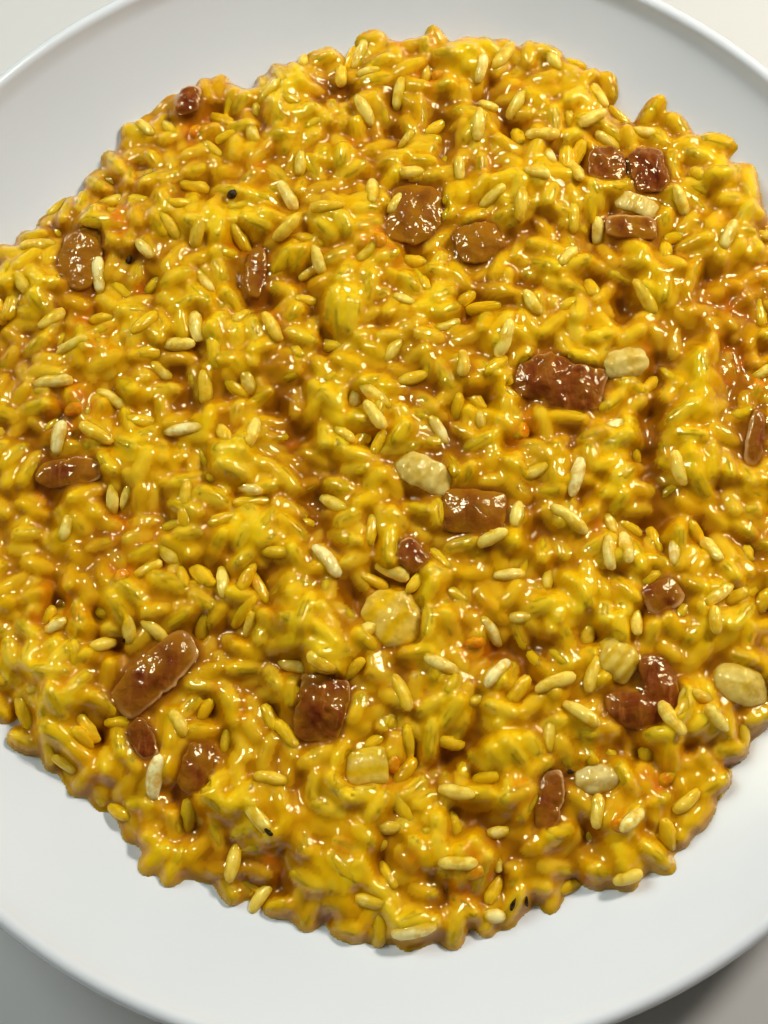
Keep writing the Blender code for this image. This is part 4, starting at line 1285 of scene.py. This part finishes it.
# Points and faces that close a body below, with a few rings of points on the plate's slope
def underside(border, low, high):
    inner = []
    for radius, count in ((0.1, 1), (45.0, 16), (78.0, 48), (88.0, 56), (98.0, 64)):
        for index in range(count):
            angle = math.tau * (index + 0.37) / count
            x, y = radius * math.cos(angle), radius * math.sin(angle)
            if low + 3 < y < high - 3:
                inner.append((x, y, float(plateHeight(radius)) + 0.1))
    plan = [Vector((float(x), float(y))) for x, y, _ in border] + [Vector(point[:2]) for point in inner]
    count = len(border)
    edges = [(k, (k + 1) % count) for k in range(count)]
    found, _, faces, sources, _, _ = delaunay_2d_cdt(plan, edges, [], 1, 1e-7)
    index = [source[0] for source in sources]
    return np.array(inner).reshape(-1, 3), [tuple(index[k] for k in reversed(face)) for face in faces]


def makeSauce(surface, attributes, paint):
    middle = side // 2
    for name, rows in (("sauceNear", (0, middle)), ("sauceFar", (middle, side - 1))):
        attach(sauceMesh(name, surface, rows, attributes, paint), "sauced_rice", "risotto")


def build():
    addCamera()
    addLamps()
    addFloor()
    makePlate()
    print("plate turned")
    form, outline = heapForm()
    inward = inwardDistance(outline)
    print("heap form read: outline", outline.min().round(1), "to", outline.max().round(1), "mm")
    hamPaint, onionPaint = hamMaterial(), onionMaterial()
    hamPieces = [makeTopping(name, hamLooks, form, hamPaint) for name in hamNodes]
    onionPieces = [makeTopping(name, onionLooks, form, onionPaint) for name in onionNodes]
    hams, hamCovers = toppingHeights(hamPieces)
    onions, onionCovers = toppingHeights(onionPieces)
    toppings, covers = np.fmax(hams, onions), np.maximum(hamCovers, onionCovers)
    print("toppings laid:", len(hamPieces) + len(onionPieces))
    rise = swellRise()
    grains, ground, stamps = pourRice(form, inward, toppings, rise)
    owner = stackGrains(ground, stamps, np.ones(len(grains), bool))[1]
    flood = sauce["floodLevel"] - 0.12 * rise + 0.36 * lumps(31, 12.0) + 0.22 * lumps(35, 5.0)
    flood = np.clip(flood, 0, 1)
    looks = dressGrains(grains, stamps, owner, flood, rise)
    height, owner = stackGrains(ground, stamps, ~looks["bare"])
    coat = np.where(owner >= 0, looks["coat"][np.maximum(owner, 0)], 0.05)
    surface, solid, masks = spreadSauce(height, coat, flood, toppings, hams, covers)
    shown = looks["bare"].copy()
    shown[np.unique(owner[(height - surface > 0.03) & (owner >= 0)])] = True
    grains[looks["bare"], 2] -= rice["settle"]
    width, thick = sum(rice["width"]) / 2, sum(rice["thickness"]) / 2
    places = [(x, y, length, width * (0.75 + 0.028 * length), turn) for x, y, length, turn, _ in loose]
    clean = layOn(surface, places, thick, rice["looseRise"])
    grains, shown = np.vstack([grains, clean]), np.append(shown, np.ones(len(clean), bool))
    tints = np.append(looks["tint"], [row[4] for row in loose])
    ricePiece = makeRice(grains, shown, tints, riceMaterial())
    print("rice shown:", int(shown.sum()))
    pepper = makeLumps("pepperSpecks", surface, specks, crumbs["pepperThick"], crumbs["pepperRise"],
                       pepperMaterial())
    pumpkin = makeLumps("pumpkinBits", surface, bits, crumbs["pumpkinThick"], crumbs["pumpkinRise"],
                        pumpkinMaterial())
    for piece in (ricePiece, pepper, pumpkin, *hamPieces, *onionPieces):
        markSauceLine(piece, surface)
    # The sauce tone, with painted light on crests and mounds and painted shade in hollows
    value, stain = sauceTonesWithPaintedShading(surface, solid, rise)
    pale = blur(np.where(owner >= 0, looks["tint"][np.maximum(owner, 0)], 0.0), 0.5)
    masks["riceUnder"] = pale * np.clip(1.25 - (surface - height) / 0.45, 0, 1)
    makeSauce(surface, {"depth": value, "stain": stain, **masks}, sauceMaterial())
    print("sauce spread")


# Height of the toppings' tops over the field, NaN elsewhere, and how far sauce creeps over each
def toppingHeights(pieces):
    tops = np.full((side, side), np.nan)
    covers = np.zeros((side, side))
    for piece in pieces:
        tree = solidTree([piece])
        corners = np.array([vertex.co for vertex in piece.data.vertices]) / mm
        low = np.searchsorted(axis, corners[:, :2].min(0)) - 1
        high = np.searchsorted(axis, corners[:, :2].max(0)) + 1
        rows, columns = slice(low[1], high[1]), slice(low[0], high[0])
        found = heightsFromAbove(tree, gridX[rows, columns], gridY[rows, columns])
        tops[rows, columns] = np.fmax(tops[rows, columns], found)
        veil = np.mean([item.value for item in piece.data.attributes["veil"].data])
        covers[rows, columns] = np.where(np.isfinite(found), 0.2 * veil, covers[rows, columns])
    return tops, covers


build()
